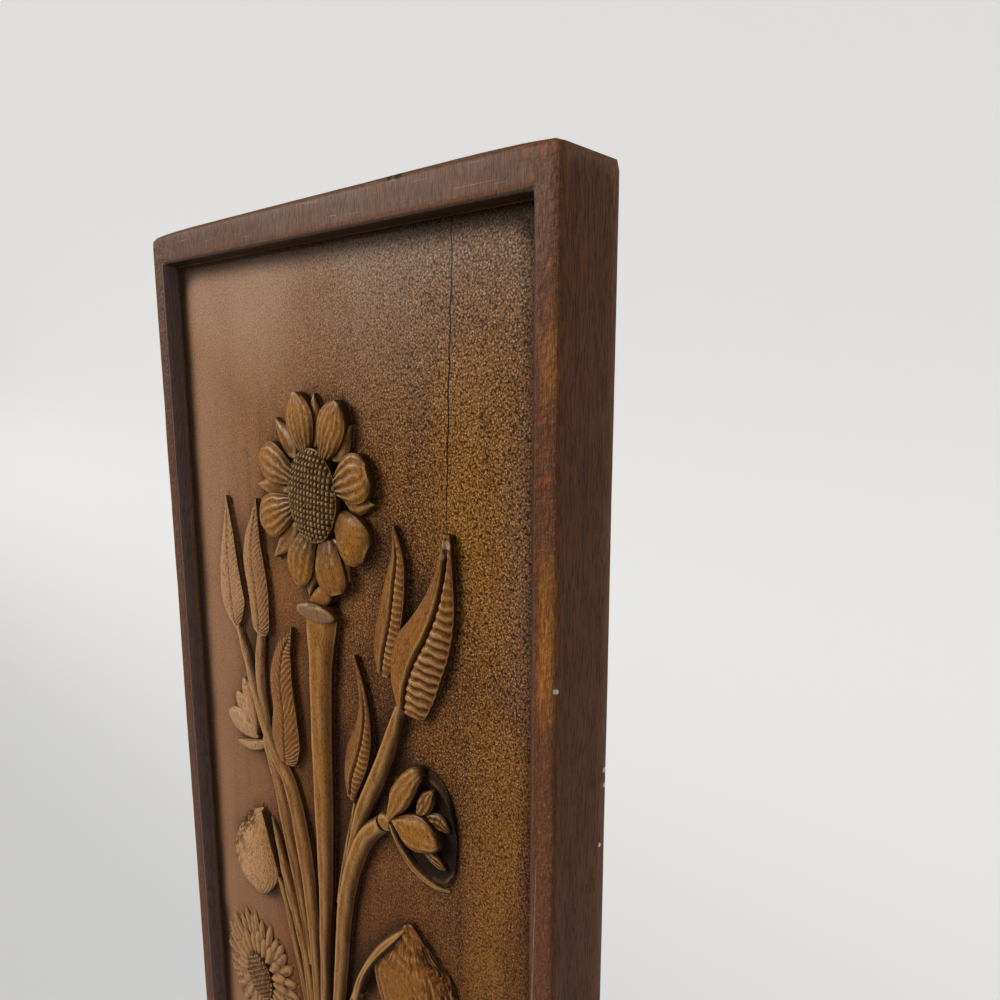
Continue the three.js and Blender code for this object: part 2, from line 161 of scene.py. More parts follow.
# The two drooping leaves, from the top down, so the first width is the viewer's right
DROOPING_LEFT = [
    (-47.5, -3.5, 1, 1), (-49.5, -9, 6.5, 6.5), (-51.8, -15.5, 12, 10.5), (-53.6, -22, 16.6, 14.8),
    (-54.6, -29, 16, 17.5), (-54.9, -34.5, 12.8, 17), (-55, -38.5, 9.2, 14.4), (-55, -41, 5.6, 8),
    (-55, -42.6, 1, 1),
]
DROOPING_RIGHT = [
    (38, -9.5, 1, 1), (38.8, -14, 5.8, 5.4), (39.5, -20, 13.4, 11.4), (40.4, -26, 17.5, 17),
    (41, -32, 19, 20.6), (41.4, -38, 18.4, 20), (42, -44, 16, 18), (42.4, -50, 12.5, 15),
    (42.8, -56, 8, 10), (43, -60, 1.5, 1.5),
]

# The stem that arches over and runs on as the upper edge of the right-hand drooping leaf
DROOPING_RIDGE = [
    (8.6, -54, 2.2, 3.2), (12.2, -45, 2, 3.8), (16.6, -37, 1.9, 4.4), (21.8, -29, 2, 4.6),
    (27.8, -21.6, 2, 4.6), (33.2, -15.6, 1.6, 3.9), (36.6, -11.8, 0.9, 2.9), (38, -10, 0.4, 2),
]

# The right bud: a cup with a soft rim, its inside darkened by painted shade, petals that stand in it and a
# thin sepal under it.
# A petal is (name, crown, edge, dome, stops), with stops as for the leaves.
BUD_CUP = [
    (31, 25.4, 2, 2), (34, 26.6, 11, 8.5), (38, 27, 15.6, 14), (43, 27, 18.6, 16.6), (48, 27, 19.8, 17.6),
    (52, 27, 19, 17.4), (55, 27, 16.4, 15.4), (57, 27, 12.4, 12.6), (58.4, 27, 7, 9.6), (59.2, 27, 1, 1),
]
BUD_BLADES = [
    ("upper", 4.7, 3.4, 2.4,
     [(31, 25, 1, 1), (33.6, 29.5, 2.8, 2.2), (36.5, 34, 4.6, 3.5), (40, 39.6, 4.2, 3.6),
      (43, 43.6, 3.4, 2.8), (45.2, 45.8, 2.6, 2), (46.6, 46.8, 1, 1)]),
    ("front", 5.3, 3.6, 1.5,
     [(34.4, 26.8, 0.6, 0.8), (37, 26.6, 2.6, 3.6), (40, 26.3, 4.6, 6.2), (44, 26, 6.2, 6.1),
      (48, 26.1, 6.1, 4.8), (51.5, 26.3, 4.6, 3.5), (53.8, 26.6, 2.6, 2.1), (54.8, 26.8, 0.8, 0.8)]),
    ("inner", 3.2, 2.2, 0.8,
     [(44.4, 32.2, 1.4, 1.4), (46.4, 35.2, 2.9, 2.7), (48.6, 38.6, 2.7, 2.5), (50.4, 41.4, 1.2, 1.2),
      (51.1, 42.6, 0.4, 0.4)]),
    ("back", 2.4, 1.5, 0.8,
     [(47, 31, 1.2, 1.2), (50, 32, 2.4, 2.4), (53.6, 32.2, 2.6, 2.8), (56.6, 30.4, 1, 1)]),
    ("lower", 2.5, 1.6, 0.6,
     [(45.6, 20.4, 1, 1), (49.4, 19.4, 2, 1.8), (52.8, 18.5, 1.7, 1.7), (55, 17.6, 0.6, 0.6)]),
]
BUD_SEPAL = [
    (31.2, 23.6, 1.1, 3), (33.2, 19.8, 1.3, 3), (36.2, 16.5, 1.4, 3), (40.4, 13.2, 1.5, 2.9),
    (45.6, 11.1, 1.5, 2.6), (50.8, 10, 1.3, 2), (54, 9.9, 0.8, 1.2), (56.2, 10.4, 0.3, 0.6),
]
# The middle of the cup's inside, and how much its heights are squashed to make it round
BUD_CUP_AT, BUD_CUP_SQUASH = (45.5, 27.95), 0.78
# Knobs where the buds leave their stems: name, middle, edge, rise, fullness
BUD_KNOBS = [("bud_knob", (-41.5, 27.4), 1.2, 1.6, 2), ("bud_joint", (28.2, 22.8), 2.2, 1.3, 2.2)]

# The left bud's petals: base, tip, bow, half width, crown, edge, fullness, point
BUD_PETALS = [
    ((-49, 28), (-64.5, 40.5), 0, 4.4, 1.9, 1, 0.55, 0.55),
    ((-42.5, 26.5), (-64.5, 20.4), -1.6, 2.3, 2.4, 1.2, 0.4, 0.55),
    ((-48, 27.5), (-57, 48.8), 1, 4.2, 3.2, 1.7, 0.6, 0.55),
    ((-47, 27.5), (-69.2, 31.4), 0, 5, 3.2, 1.7, 0.6, 0.5),
]
ASTERS = [(-57.4, -83.4), (42, -86)]
# Rings of an aster: petals, reach of base and tip, half width, crown, edge
ASTER_RINGS = [(34, 10, 27, 2.1, 1.25, 0.6), (21, 8, 19, 2.4, 1.9, 1.1)]
ASTER_BUTTON = 9.5
# Specks of paint, small chips whose shadow is painted dark, a worn tip and the cut end of the main stem: x,
# y, z, radius, colour
PAINT = (0.75, 0.73, 0.68, 1)
CHIP_SHADOW = (0.012, 0.006, 0.004, 1)
WORN = (0.42, 0.27, 0.16, 1)
CUT_END = (0.20, 0.135, 0.10, 1)
FLECKS = [
    (99.4, -23.2, 89, 0.8, PAINT), (100, -1.2, 59.4, 0.9, PAINT), (100, -1.0, 54.9, 0.8, PAINT),
    (100, -2.8, 37.6, 0.7, PAINT), (45, -23, 219.4, 2.0, CHIP_SHADOW), (41.5, -23.4, 219, 1.2, CHIP_SHADOW),
    (58.2, -20.2, 119.5, 1.6, WORN), (57.2, -20.9, 116, 1.2, WORN), (-9.5, -22.6, 88.6, 3.4, CUT_END),
    (-4, -22.8, 87.6, 3.4, CUT_END), (2, -22.4, 86.6, 3.2, CUT_END),
]
# Flecks wider than this are faint, and all have ragged edges
FLECK_WIDE, FLECK_STRONG, FLECK_FAINT = 2.1, 0.9, 0.6
FLECK_RAGGED = 1.2
# The two plain leaves at the foot: base, tip and bow
FOOT_LEAVES = [((-17, -122), (-58, -148), 5), ((-5, -122), (37, -150), -5)]

# Fineness of the carved forms, in millimetres along them and in columns across; cells are (rows, columns)
LEAF_CELL, LEAF_COLUMNS = 0.5, 34
STEM_CELL, STEM_COLUMNS = 2.6, 12
DROOPING_CELLS = (70, 50)
LEAST_HALF_WIDTH = 0.25
# How far the columns of a leaf are drawn in towards its midrib
LEAF_MIDDLE = 0.72
# Cuts in the carved forms and the unevenness of the hand, in millimetres
MIDRIB_WIDTH = 0.62
VEIN_DEPTH = 0.34
RIB_DEPTH, RIB_LEAST = 0.62, 0.16
CHISEL_DEPTH, CHISEL_SIZE = 0.16, 1.6
FACET_DEPTH, FACET_LENGTH = 0.10, 21
WAVER_DEPTH, WAVER_SIZE = 0.10, 4.0
DOME_WAVER = 0.08

# The plank: how uneven its planed sides are, how deep its front is dented and where its back arris starts
UNEVEN, DENT = 0.10 * MM, 0.14 * MM
BACK_ARRIS = 1 * MM
# Gouge marks in the ground: width and length of the long and of the short ones, in metres
LONG_MARKS, SHORT_MARKS = (0.0067, 0.018), (0.0024, 0.0033)


# Sizes, colours and light that a user may change

class PlaqueSizes(bpy.types.PropertyGroup):
    rim_side: FloatProperty(name="Side rim", description="Width of the raised rim at the sides",
                            default=8.2 * MM, unit="LENGTH", precision=4)
    rim_end: FloatProperty(name="End rim", description="Width of the raised rim at the top and bottom",
                           default=11.6 * MM, unit="LENGTH", precision=4)
    sunk_depth: FloatProperty(name="Sunk depth", description="How deep the field lies below the rim",
                              default=6.4 * MM, unit="LENGTH", precision=4)
    wall_slope: FloatProperty(name="Wall slope", description="How far the rim's inner wall leans out",
                              default=0.7 * MM, unit="LENGTH", precision=4)
    arris: FloatProperty(name="Worn arris", description="Rounding of the front outer arris",
                         default=2.2 * MM, unit="LENGTH", precision=4)
    corner: FloatProperty(name="Corner radius", description="Rounding of the four corners",
                          default=2.2 * MM, unit="LENGTH", precision=4)
    wear: FloatProperty(name="Corner wear", description="How far the top edge falls at its corners",
                        default=1.2 * MM, unit="LENGTH", precision=4)
    ground_pitch: FloatProperty(name="Ground pitch", description="Size of the cells of the sunk ground",
                                default=2.9 * MM, unit="LENGTH", precision=4)
    tool_marks: FloatProperty(name="Tool marks", description="Depth of the gouge marks in the ground",
                              default=0.22 * MM, unit="LENGTH", precision=5)


class WoodLook(bpy.types.PropertyGroup):
    # Dark serves the stain and grain, and also painted shade in hollows, on steep sides of the carving, in
    # the bud's cup and on the inner walls.
    dark: FloatVectorProperty(name="Dark stain", description="Stain left in the hollows", subtype="COLOR",
                              size=4, min=0, max=1, default=(0.016, 0.007, 0.003, 1))
    brown: FloatVectorProperty(name="Brown", description="Stain on the sunk ground", subtype="COLOR",
                               size=4, min=0, max=1, default=(0.155, 0.047, 0.012, 1))
    gold: FloatVectorProperty(name="Gold", description="Worn places where the wood shows", subtype="COLOR",
                              size=4, min=0, max=1, default=(0.352, 0.139, 0.011, 1))
    pale: FloatVectorProperty(name="Pale", description="Rubbed crests of the carving", subtype="COLOR",
                              size=4, min=0, max=1, default=(0.48, 0.26, 0.075, 1))
    # The pale tone is painted sheen on the left and under the top rail, painted highlights on the right
    # rim's dimples, and the pale of scratches, the split and worn arrises.
    pale_wear_and_sheen: FloatVectorProperty(name="Haze", description="Dull bloom on the left and under the top rail",
                              subtype="COLOR", size=4, min=0, max=1, default=(0.37, 0.195, 0.105, 1))
    # Glint is painted highlight on the tips of the stippled ground.
    glint: FloatVectorProperty(name="Glint", description="Rubbed tips of the stippled ground",
                               subtype="COLOR", size=4, min=0, max=1, default=(0.82, 0.47, 0.24, 1))
    rim: FloatVectorProperty(name="Rim", description="Reddish brown of the rim and sides", subtype="COLOR",
                             size=4, min=0, max=1, default=(0.125, 0.043, 0.015, 1))
    stipple: FloatProperty(name="Stipple", description="Size of the ground's stippled bumps",
                           default=0.70 * MM, unit="LENGTH", precision=4)


class StageLook(bpy.types.PropertyGroup):
    floor: FloatVectorProperty(name="Floor", description="Colour of the floor and backdrop", subtype="COLOR",
                               size=4, min=0, max=1, default=(0.74, 0.745, 0.75, 1))
    sun: FloatProperty(name="Key light", description="Strength of the soft light from the upper left",
                       default=2.95, min=0)
    softness: FloatProperty(name="Softness", description="How wide the key light is, as an angle",
                            default=math.radians(27), min=0, subtype="ANGLE")
    room: FloatProperty(name="Room light", description="Strength of the even light from all sides",
                        default=0.33, min=0)
    lens: FloatProperty(name="Lens", description="Focal length of the camera in millimetres",
                        default=27.55, min=1)


# Curves and profiles

def smooth(low, high, value):
    t = np.clip((value - low) / (high - low), 0, 1)
    return t * t * (3 - 2 * t)


def along_curve(points, t):
    """Places on a smooth curve through the points, and its direction there, at shares t of its stops."""
    points = np.array(points, float)
    padded = np.vstack([2 * points[0] - points[1], points, 2 * points[-1] - points[-2]])
    span = t * (len(points) - 1)
    first = np.minimum(span.astype(int), len(points) - 2)
    w = (span - first)[:, None]
    p0, p1, p2, p3 = (padded[first + k] for k in range(4))
    m1, m2 = (p2 - p0) / 2, (p3 - p1) / 2
    place = ((2 * w**3 - 3 * w**2 + 1) * p1 + (w**3 - 2 * w**2 + w) * m1
             + (3 * w**2 - 2 * w**3) * p2 + (w**3 - w**2) * m2)
    slope = (6 * w**2 - 6 * w) * (p1 - p2) + (3 * w**2 - 4 * w + 1) * m1 + (3 * w**2 - 2 * w) * m2
    return place, slope


def polar(centre, angle, reach):
    turn = math.radians(angle)
    return centre[0] + reach * math.cos(turn), centre[1] + reach * math.sin(turn)


def petal_stops(base, tip, half, fullness, point, bow=0, count=9):
    """Stops of a petal that is widest at `fullness`; a low `point` makes its end blunt."""
    (bx, bz), (tx, tz) = base, tip
    dx, dz = tx - bx, tz - bz
    length = math.hypot(dx, dz)
    skew = math.log(0.5) / math.log(fullness)
    stops = []
    for step in range(count + 1):
        t = step / count
        width = half * math.sin(math.pi * (0.02 + 0.96 * t) ** skew) ** point
        bulge = bow * math.sin(math.pi * t) / length
        stops.append((bx + dx * t + dz * bulge, bz + dz * t - dx * bulge, width, width))
    return stops


# Meshes

def deselect():
    if bpy.context.object and bpy.context.object.mode != "OBJECT":
        bpy.ops.object.mode_set(mode="OBJECT")
    bpy.ops.object.select_all(action="DESELECT")


def make_active(piece):
    deselect()
    piece.select_set(True)
    bpy.context.view_layer.objects.active = piece


def new_grid(name, columns, rows):
    deselect()
    bpy.ops.mesh.primitive_grid_add(x_subdivisions=columns, y_subdivisions=rows, size=2, location=(0, 0, 0))
    piece = bpy.context.object
    piece.name = name
    piece.data.name = name
    return piece


def grid_shares(piece):
    flat = np.empty(len(piece.data.vertices) * 3)
    piece.data.vertices.foreach_get("co", flat)
    return flat.reshape(-1, 3)[:, 0], flat.reshape(-1, 3)[:, 1]


def set_places(piece, x, z, height, settings):
    """Puts the vertices at millimetre places on the board, at heights above the sunk ground."""
    ground = LOW[1] + settings.sunk_depth
    places = np.stack([x * MM, ground - height * MM, z * MM], axis=1)
    piece.data.vertices.foreach_set("co", places.ravel())
    piece.data.update()


def root_into_ground(piece, settings, depth=1.3 * MM):
    """Extrudes the surface's border back into the board and closes it there."""
    make_active(piece)
    bpy.ops.object.mode_set(mode="EDIT")
    bpy.ops.mesh.select_mode(type="EDGE")
    bpy.ops.mesh.select_all(action="DESELECT")
    bpy.ops.mesh.select_non_manifold()
    bpy.ops.mesh.extrude_region_move(TRANSFORM_OT_translate={"value": (0, 0, 0)})
    mesh = bmesh.from_edit_mesh(piece.data)
    for vert in mesh.verts:
        if vert.select:
            vert.co.y = LOW[1] + settings.sunk_depth + depth
    bmesh.update_edit_mesh(piece.data)
    bpy.ops.mesh.edge_face_add()
    bpy.ops.mesh.select_all(action="SELECT")
    bpy.ops.mesh.remove_doubles(threshold=1e-6)
    bpy.ops.mesh.normals_make_consistent(inside=False)
    bpy.ops.object.mode_set(mode="OBJECT")


def noise_at(size, seed, x, z):
    """Soft noise from -1 to 1 at places on the board, with swells of about `size`."""
    return np.array([noise.noise(Vector((a / size, b / size, seed))) for a, b in zip(x, z)])


def strip(name, stops, cells, height_at, settings, middle=1.0):
    """A strip carved along a curve. height_at gets t, from base to tip, and side, from -1 to 1.

    A `middle` below 1 draws the cells in towards the midrib.
    """
    rows, columns = cells
    piece = new_grid(name, columns, rows)
    across, along = grid_shares(piece)
    side = np.sin(across * math.pi / 2)
    side = side * (middle + (1 - middle) * side ** 2)
    t = (along + 1) / 2
    levels, back = np.unique(np.round(t, 6), return_inverse=True)
    place, slope = along_curve([stop[:2] for stop in stops], levels)
    widths, _ = along_curve([stop[2:4] for stop in stops], levels)
    slope /= np.linalg.norm(slope, axis=1)[:, None]
    place, slope, widths = place[back], slope[back], np.maximum(widths[back], LEAST_HALF_WIDTH)
    offset = side * np.where(side < 0, widths[:, 0], widths[:, 1])
    x = place[:, 0] + slope[:, 1] * offset
    z = place[:, 1] - slope[:, 0] * offset
    height = height_at(t, side, widths, offset, x, z) + WAVER_DEPTH * noise_at(WAVER_SIZE, len(name), x, z)
    set_places(piece, x, z, height, settings)
    root_into_ground(piece, settings)
    return piece


def length_of(stops):
    return sum(math.dist(a[:2], b[:2]) for a, b in zip(stops, stops[1:]))


def grooves(phase, sharpness):
    """A row of grooves, one for each whole step of the phase: 1 in the grooves and 0 on the crests."""
    return (0.5 + 0.5 * np.cos(2 * np.pi * phase)) ** sharpness


def blade_height(side, widths, offset, crown, left, right, midrib):
    """Height of a plain leaf: two halves that fall from a grooved midrib to a thin edge."""
    total = widths.sum(axis=1)
    fill = np.clip(1.3 * total / total.max(), 0, 1)
    edge = left + (right - left) * smooth(-0.7, 0.7, side)
    share = np.abs(side)
    body = edge + (crown - edge) * fill * (1 - share ** 2.6)
    cut = midrib * smooth(1.5, 6.0, total)
    return body - cut * np.exp(-(offset / MIDRIB_WIDTH) ** 2) - 0.25 * cut * (1 - share)


def leaf(spec, settings):
    """A leaf with fine slanting veins, or with deep ribs across its right half."""
    veins, ribs = spec["veins"], spec["ribs"]
    length = length_of(spec["stops"])

    def height_at(t, side, widths, offset, x, z):
        height = blade_height(side, widths, offset, *(
            spec[part] for part in ("crown", "left", "right", "midrib")))
        away = np.abs(side)
        inside = smooth(0.0, 0.10, away) * smooth(0.0, 0.04, t) * (1 - smooth(0.93, 1.0, t))
        if veins:
            cut = grooves((t * length - np.abs(offset)) / veins + 0.3 * noise_at(6.0, 2, x, z), 1.6)
            height = height - VEIN_DEPTH * cut * inside * (1 - smooth(0.92, 1.0, away))
        if ribs:
            ripple = 0.07 * np.sin(1.1 * x + 0.2 * z) + 0.14 * noise_at(5.0, 6, x, z)
            cut = grooves((z + 0.12 * x) / ribs + ripple, 1.1)
            depth = RIB_DEPTH * smooth(2.0, 9.0, widths[:, 1]) + RIB_LEAST
            height = height - depth * cut * inside * (side > 0) * (1 - 0.5 * smooth(0.9, 1.0, away))
            height = height - 0.08 * grooves(side * 4 + 2 * t, 2) * inside * (side < 0)
        return height
    cells = int(length / spec.get("cell", LEAF_CELL)), spec.get("columns", LEAF_COLUMNS)
    return strip(spec["name"], spec["stops"], cells, height_at, settings, LEAF_MIDDLE)


def drooping_leaf(name, stops, crown, left, right, fan, strand, wave, settings):
    """A leaf that hangs over, waved at the top, with strands that fan out to its lower edge."""
    lower = 1 if left > right else -1

    def height_at(t, side, widths, offset, x, z):
        height = blade_height(side, widths, offset, crown, left, right, 0.25)
        waves = grooves(11 * t + 0.6 * side + 0.5 * noise_at(6.0, 7, x, z), 1.2)
        height = height - wave * waves * smooth(0.02, 0.1, t) * (1 - smooth(0.25, 0.45, t))
        strands = grooves(fan * (side + 0.5 * t) + 0.8 * noise_at(7.0, 3, x, z), 1.3)
        fine = grooves(2.3 * fan * (side + 0.35 * t) + 0.8 * noise_at(5.0, 5, x, z), 1.0)
        depth = strand * (strands + 0.4 * fine)
        return height - depth * smooth(0.06, 0.2, t) * (0.35 + 0.65 * smooth(0.0, 0.7, side * lower))
    return strip(name, stops, DROOPING_CELLS, height_at, settings)


def petal(name, stops, cells, heights, settings, flutes=0, flute_depth=0.0, dome=0.4, base_drop=0.0):
    """A petal that is (crown, edge) high, with flutes from its base and an end that drops by `dome`."""
    crown, edge = heights

    def height_at(t, side, widths, offset, x, z):
        away = np.abs(side)
        rise = np.sin(np.pi * np.clip(0.18 + 0.74 * t, 0, 1)) ** 0.6
        body = edge + (crown - edge) * rise * (1 - away ** 3.2)
        body = body - dome * (np.clip(t - 0.72, 0, 1) / 0.28) ** 2 - base_drop * (1 - smooth(0.1, 0.62, t))
        if flutes:
            lines = grooves(flutes * (side * 0.5 + 0.5) + 0.2 * t + 0.25 * noise_at(4.0, 6, x, z), 1.4)
            fade = smooth(0.02, 0.2, t) * (1 - 0.75 * smooth(0.66, 0.97, t)) * (1 - away ** 8)
            body = body - flute_depth * lines * fade
        return body + CHISEL_DEPTH * noise_at(CHISEL_SIZE, 11, x, z) * (1 - away ** 8)
    return strip(name, stops, cells, height_at, settings)


def stem(name, stops, settings, rows=0):
    """A stem whittled to a flat front with a soft left shoulder and a steep right side."""
    length = length_of(stops)
    rows = rows or max(10, int(length / STEM_CELL))
    highs = [(stop[3], 0) for stop in stops]

    def height_at(t, side, widths, offset, x, z):
        high = along_curve(highs, t)[0][:, 0]
        soft = 1 - 0.55 * np.clip((-side - 0.30) / 0.70, 0, 1) ** 1.4
        steep = 1 - 0.60 * np.clip((side - 0.55) / 0.45, 0, 1) ** 1.6
        cut = FACET_DEPTH * np.cos(2 * np.pi * (t * length / FACET_LENGTH + side * 0.5))
        cut = cut + 0.14 * noise_at(2.4, 12, x, z / 5)
        return high * np.where(side < 0, soft, steep) + cut * (1 - side ** 4)
    even = [(*stop[:2], stop[2], stop[2]) for stop in stops]
    return strip(name, even, (rows, STEM_COLUMNS), height_at, settings)


def oval_dome(name, centre, halves, cells, height_at, settings):
    """A dome on an oval plan, from a square grid drawn round."""
    piece = new_grid(name, cells, int(cells * halves[1] / halves[0]))
    u, v = grid_shares(piece)
    x = u * np.sqrt(1 - v * v / 2)
    z = v * np.sqrt(1 - u * u / 2)
    share = np.hypot(x, z)
    x, z = x * halves[0], z * halves[1]
    height = height_at(x, z, share) + DOME_WAVER * noise_at(WAVER_SIZE, 3.0, x, z)
    set_places(piece, x + centre[0], z + centre[1], height, settings)
    root_into_ground(piece, settings)
    return piece


def swell(edge, rise, share, fullness):
    """Height of a dome that stands `edge` high at its border and rises by `rise` to its middle."""
    return edge + rise * np.sqrt(np.clip(1 - share ** fullness, 0, 1))


def studded(pitch, turn, depth):
    """Square studs cut by two crossing sets of lines."""
    def cut(x, z, share):
        a = x * math.cos(turn) + z * math.sin(turn)
        b = z * math.cos(turn) - x * math.sin(turn)
        a = a + 0.22 * noise_at(5.0, 1.0, x, z) + 0.10 * noise_at(1.5, 4.0, x, z)
        b = b + 0.45 * noise_at(6.0, 2.0, x, z) + 0.16 * noise_at(1.5, 5.0, x, z)
        lines = np.maximum(grooves(a / pitch, 2.2), grooves(b / (pitch * 1.06), 2.2))
        return depth * lines * (1 - smooth(0.95, 1.0, share)) * (1 + 0.5 * noise_at(2.5, 8.0, x, z))
    return cut


# The bouquet

def build_sunflower(settings):
    pieces = []
    for index, (angle, reach) in enumerate(FLOWER_SEPALS):
        stops = petal_stops(polar(FLOWER_AT, angle, 16), polar(FLOWER_AT, angle, reach), 4.4, 0.35, 1.0)
        pieces.append(petal(f"sepal_{index}", stops, (14, 10), (2.8, 1.4), settings,
                            flutes=2, flute_depth=0.2, dome=0.3))
    for index, (angle, reach, half, fullness, point, flutes, depth, dome) in enumerate(FLOWER_PETALS):
        base, tip = polar(FLOWER_AT, angle, 9), polar(FLOWER_AT, angle, reach)
        stops = petal_stops(base, tip, half, fullness, point, 0, 12)
        drop = HOODED_DROP if index in HOODED else PETAL_DROP
        pieces.append(petal(f"petal_{index}", stops, (36, 30), (5.3, 3.6), settings,
                            flutes, depth, dome, drop))
    studs = studded(pitch=1.85, turn=math.radians(-5), depth=0.75)

    def seed_height(x, z, share):
        return swell(3.2, 3.0, share * 0.985, 3.2) - studs(x, z, share)
    pieces.append(oval_dome("seed_head", FLOWER_AT, SEED_HEAD, 74, seed_height, settings))
    return pieces


def build_stems(settings):
    pieces = [stem(f"side_stem_{index}", stops, settings) for index, stops in enumerate(SIDE_STEMS)]
    pieces.append(stem("main_stem", MAIN_STEM, settings))

    def collar_height(x, z, share):
        return swell(3.6, 1.7, share * 0.98, 5) - 0.06 * x + 0.16 * z
    pieces.append(oval_dome("collar", (-3.6, 87.2), (9.8, 3.4), 30, collar_height, settings))
    neck = petal_stops((-9, 87), (4, 97), 3.8, 0.5, 0.6)
    pieces.append(petal("neck", neck, (20, 16), (3.6, 2.4), settings))
    x, z = TIE_AT
    for index, shift in enumerate(STEM_ENDS):
        foot = z - STEM_END_DROP + abs(shift) * 0.6
        stops = [(x + shift * 0.3, z, 2.2, 3.2), (x + shift * 0.6, z - 16, 2.2, 3.2),
                 (x + shift * 1.7, foot, 2.6, 3.0)]
        pieces.append(stem(f"stem_end_{index}", stops, settings))
    tie = [(x - 8.5, z - 3, 4.4, 3), (x, z - 4, 4.6, 4.8), (x + 8.5, z - 3, 4.4, 3)]
    pieces.append(stem("tie", tie, settings, rows=16))
    return pieces


def build_leaves(settings):
    pieces = [leaf(spec, settings) for spec in LEAVES]
    pieces.append(drooping_leaf("drooping_left", DROOPING_LEFT, crown=4.2, left=3.0, right=1.1,
                                fan=9, strand=0.7, wave=0, settings=settings))
    pieces.append(drooping_leaf("drooping_right", DROOPING_RIGHT, crown=3.6, left=1.7, right=2.8,
                                fan=8, strand=0.85, wave=0.45, settings=settings))
    pieces.append(stem("drooping_ridge", DROOPING_RIDGE, settings))
    for index, (base, tip, bow) in enumerate(FOOT_LEAVES):
        stops = petal_stops(base, tip, 8, 0.4, 0.6, bow)
        pieces.append(leaf(dict(name=f"foot_leaf_{index}", stops=stops, crown=3.6, left=1.8, right=1.8,
                                midrib=0.8, veins=1.9, ribs=0, cell=0.8, columns=20), settings))
    return pieces


def build_buds(settings):
    pieces = []
    for index, (base, tip, bow, half, crown, edge, fullness, point) in enumerate(BUD_PETALS):
        stops = petal_stops(base, tip, half, fullness, point, bow)
        pieces.append(petal(f"bud_petal_{index}", stops, (26, 18), (crown, edge), settings,
                            flutes=3, flute_depth=0.16, dome=0.3))

    def cup_height(t, side, widths, offset, x, z):
        away = np.abs(side)
        ring = smooth(0.66, 0.86, away) * (1 - 0.85 * smooth(0.88, 1.0, away)) * (1 - smooth(0.8, 1.0, t))
        return 0.45 + (0.8 + 0.4 * noise_at(6.0, 4, x, z)) * ring
    pieces.append(strip("bud_cup", BUD_CUP, (36, 30), cup_height, settings))
    for name, crown, edge, dome, stops in BUD_BLADES:
        pieces.append(petal(f"bud_{name}", stops, (30, 22), (crown, edge), settings,
                            flutes=3, flute_depth=0.22, dome=dome))
    pieces.append(stem("bud_sepal", BUD_SEPAL, settings))
    for name, centre, edge, rise, fullness in BUD_KNOBS:
        def knob_height(x, z, share):
            return swell(edge, rise, share, fullness)
        pieces.append(oval_dome(name, centre, (3.6, 3), 14, knob_height, settings))
    return pieces


def build_asters(settings):
    pieces = []
    studs = studded(pitch=1.7, turn=0.6, depth=0.7)

    def button_height(x, z, share):
        return swell(1.8, 1.7, share * 0.98, 2.4) - studs(x, z, share)
    for number, centre in enumerate(ASTERS):
        for ring, (count, base, tip, half, crown, edge) in enumerate(ASTER_RINGS):
            for index in range(count):
                angle = 360 * (index + 0.5 * ring) / count + 3 * math.sin(5 * index + number)
                reach = tip + 1.3 * math.sin(3 * index + number)
                stops = petal_stops(polar(centre, angle, base), polar(centre, angle, reach),
                                    half, 0.62, 0.55, 0.5)
                name = f"aster_{number}_{ring}_{index}"
                pieces.append(petal(name, stops, (11, 6), (crown, edge), settings,
                                    flutes=1, flute_depth=0.4, dome=0.5))
        pieces.append(oval_dome(f"aster_button_{number}", centre, (ASTER_BUTTON, ASTER_BUTTON), 34,
                                button_height, settings))
    return pieces


# The board

def rounded(x, z, half_x, half_z, radius):
    """Moves points of a rectangle's outline near its corners onto an arc."""
    near_x, near_z = half_x - np.abs(x), half_z - np.abs(z)
    corner = (near_x < radius) & (near_z < radius)
    turn = math.pi / 4 * (1 + np.clip((near_x - near_z) / radius, -1, 1))
    arc_x = np.sign(x) * (half_x - radius + radius * np.cos(turn))
    arc_z = np.sign(z) * (half_z - radius + radius * np.sin(turn))
    return np.where(corner, arc_x, x), np.where(corner, arc_z, z)


def board_rings(settings):
    """Rings from the ground's border out and round to the back: inset at the sides, at the ends, and y."""
    front, depth, arris = LOW[1], settings.sunk_depth, settings.arris
    side, end, slope = settings.rim_side, settings.rim_end, settings.wall_slope
    rings = []
    for share in (0.12, 0.5, 0.88):
        rings.append((side + slope * (1 - share), end + slope * (1 - share), front + depth * (1 - share)))
    rings.append((side - 0.1 * MM, end - 0.1 * MM, front + 0.25 * MM))
    rings.append((side - 0.5 * MM, end - 0.5 * MM, front + 0.03 * MM))
    for share in (0.25, 0.5, 0.75, 1):
        rings.append((side + (arris - side) * share, end + (arris - end) * share, front))
    for step in range(1, 6):
        turn = math.pi / 2 * step / 5
        inset = arris * (1 - math.sin(turn))
        rings.append((inset, inset, front + arris * (1 - math.cos(turn))))
    for share in (0.25, 0.5, 0.75):
        rings.append((0, 0, front + arris + (-BACK_ARRIS - front - arris) * share))
    rings.append((0, 0, -BACK_ARRIS))
    rings.append((0.3 * BACK_ARRIS, 0.3 * BACK_ARRIS, -0.3 * BACK_ARRIS))
    rings.append((BACK_ARRIS, BACK_ARRIS, 0))
    return rings


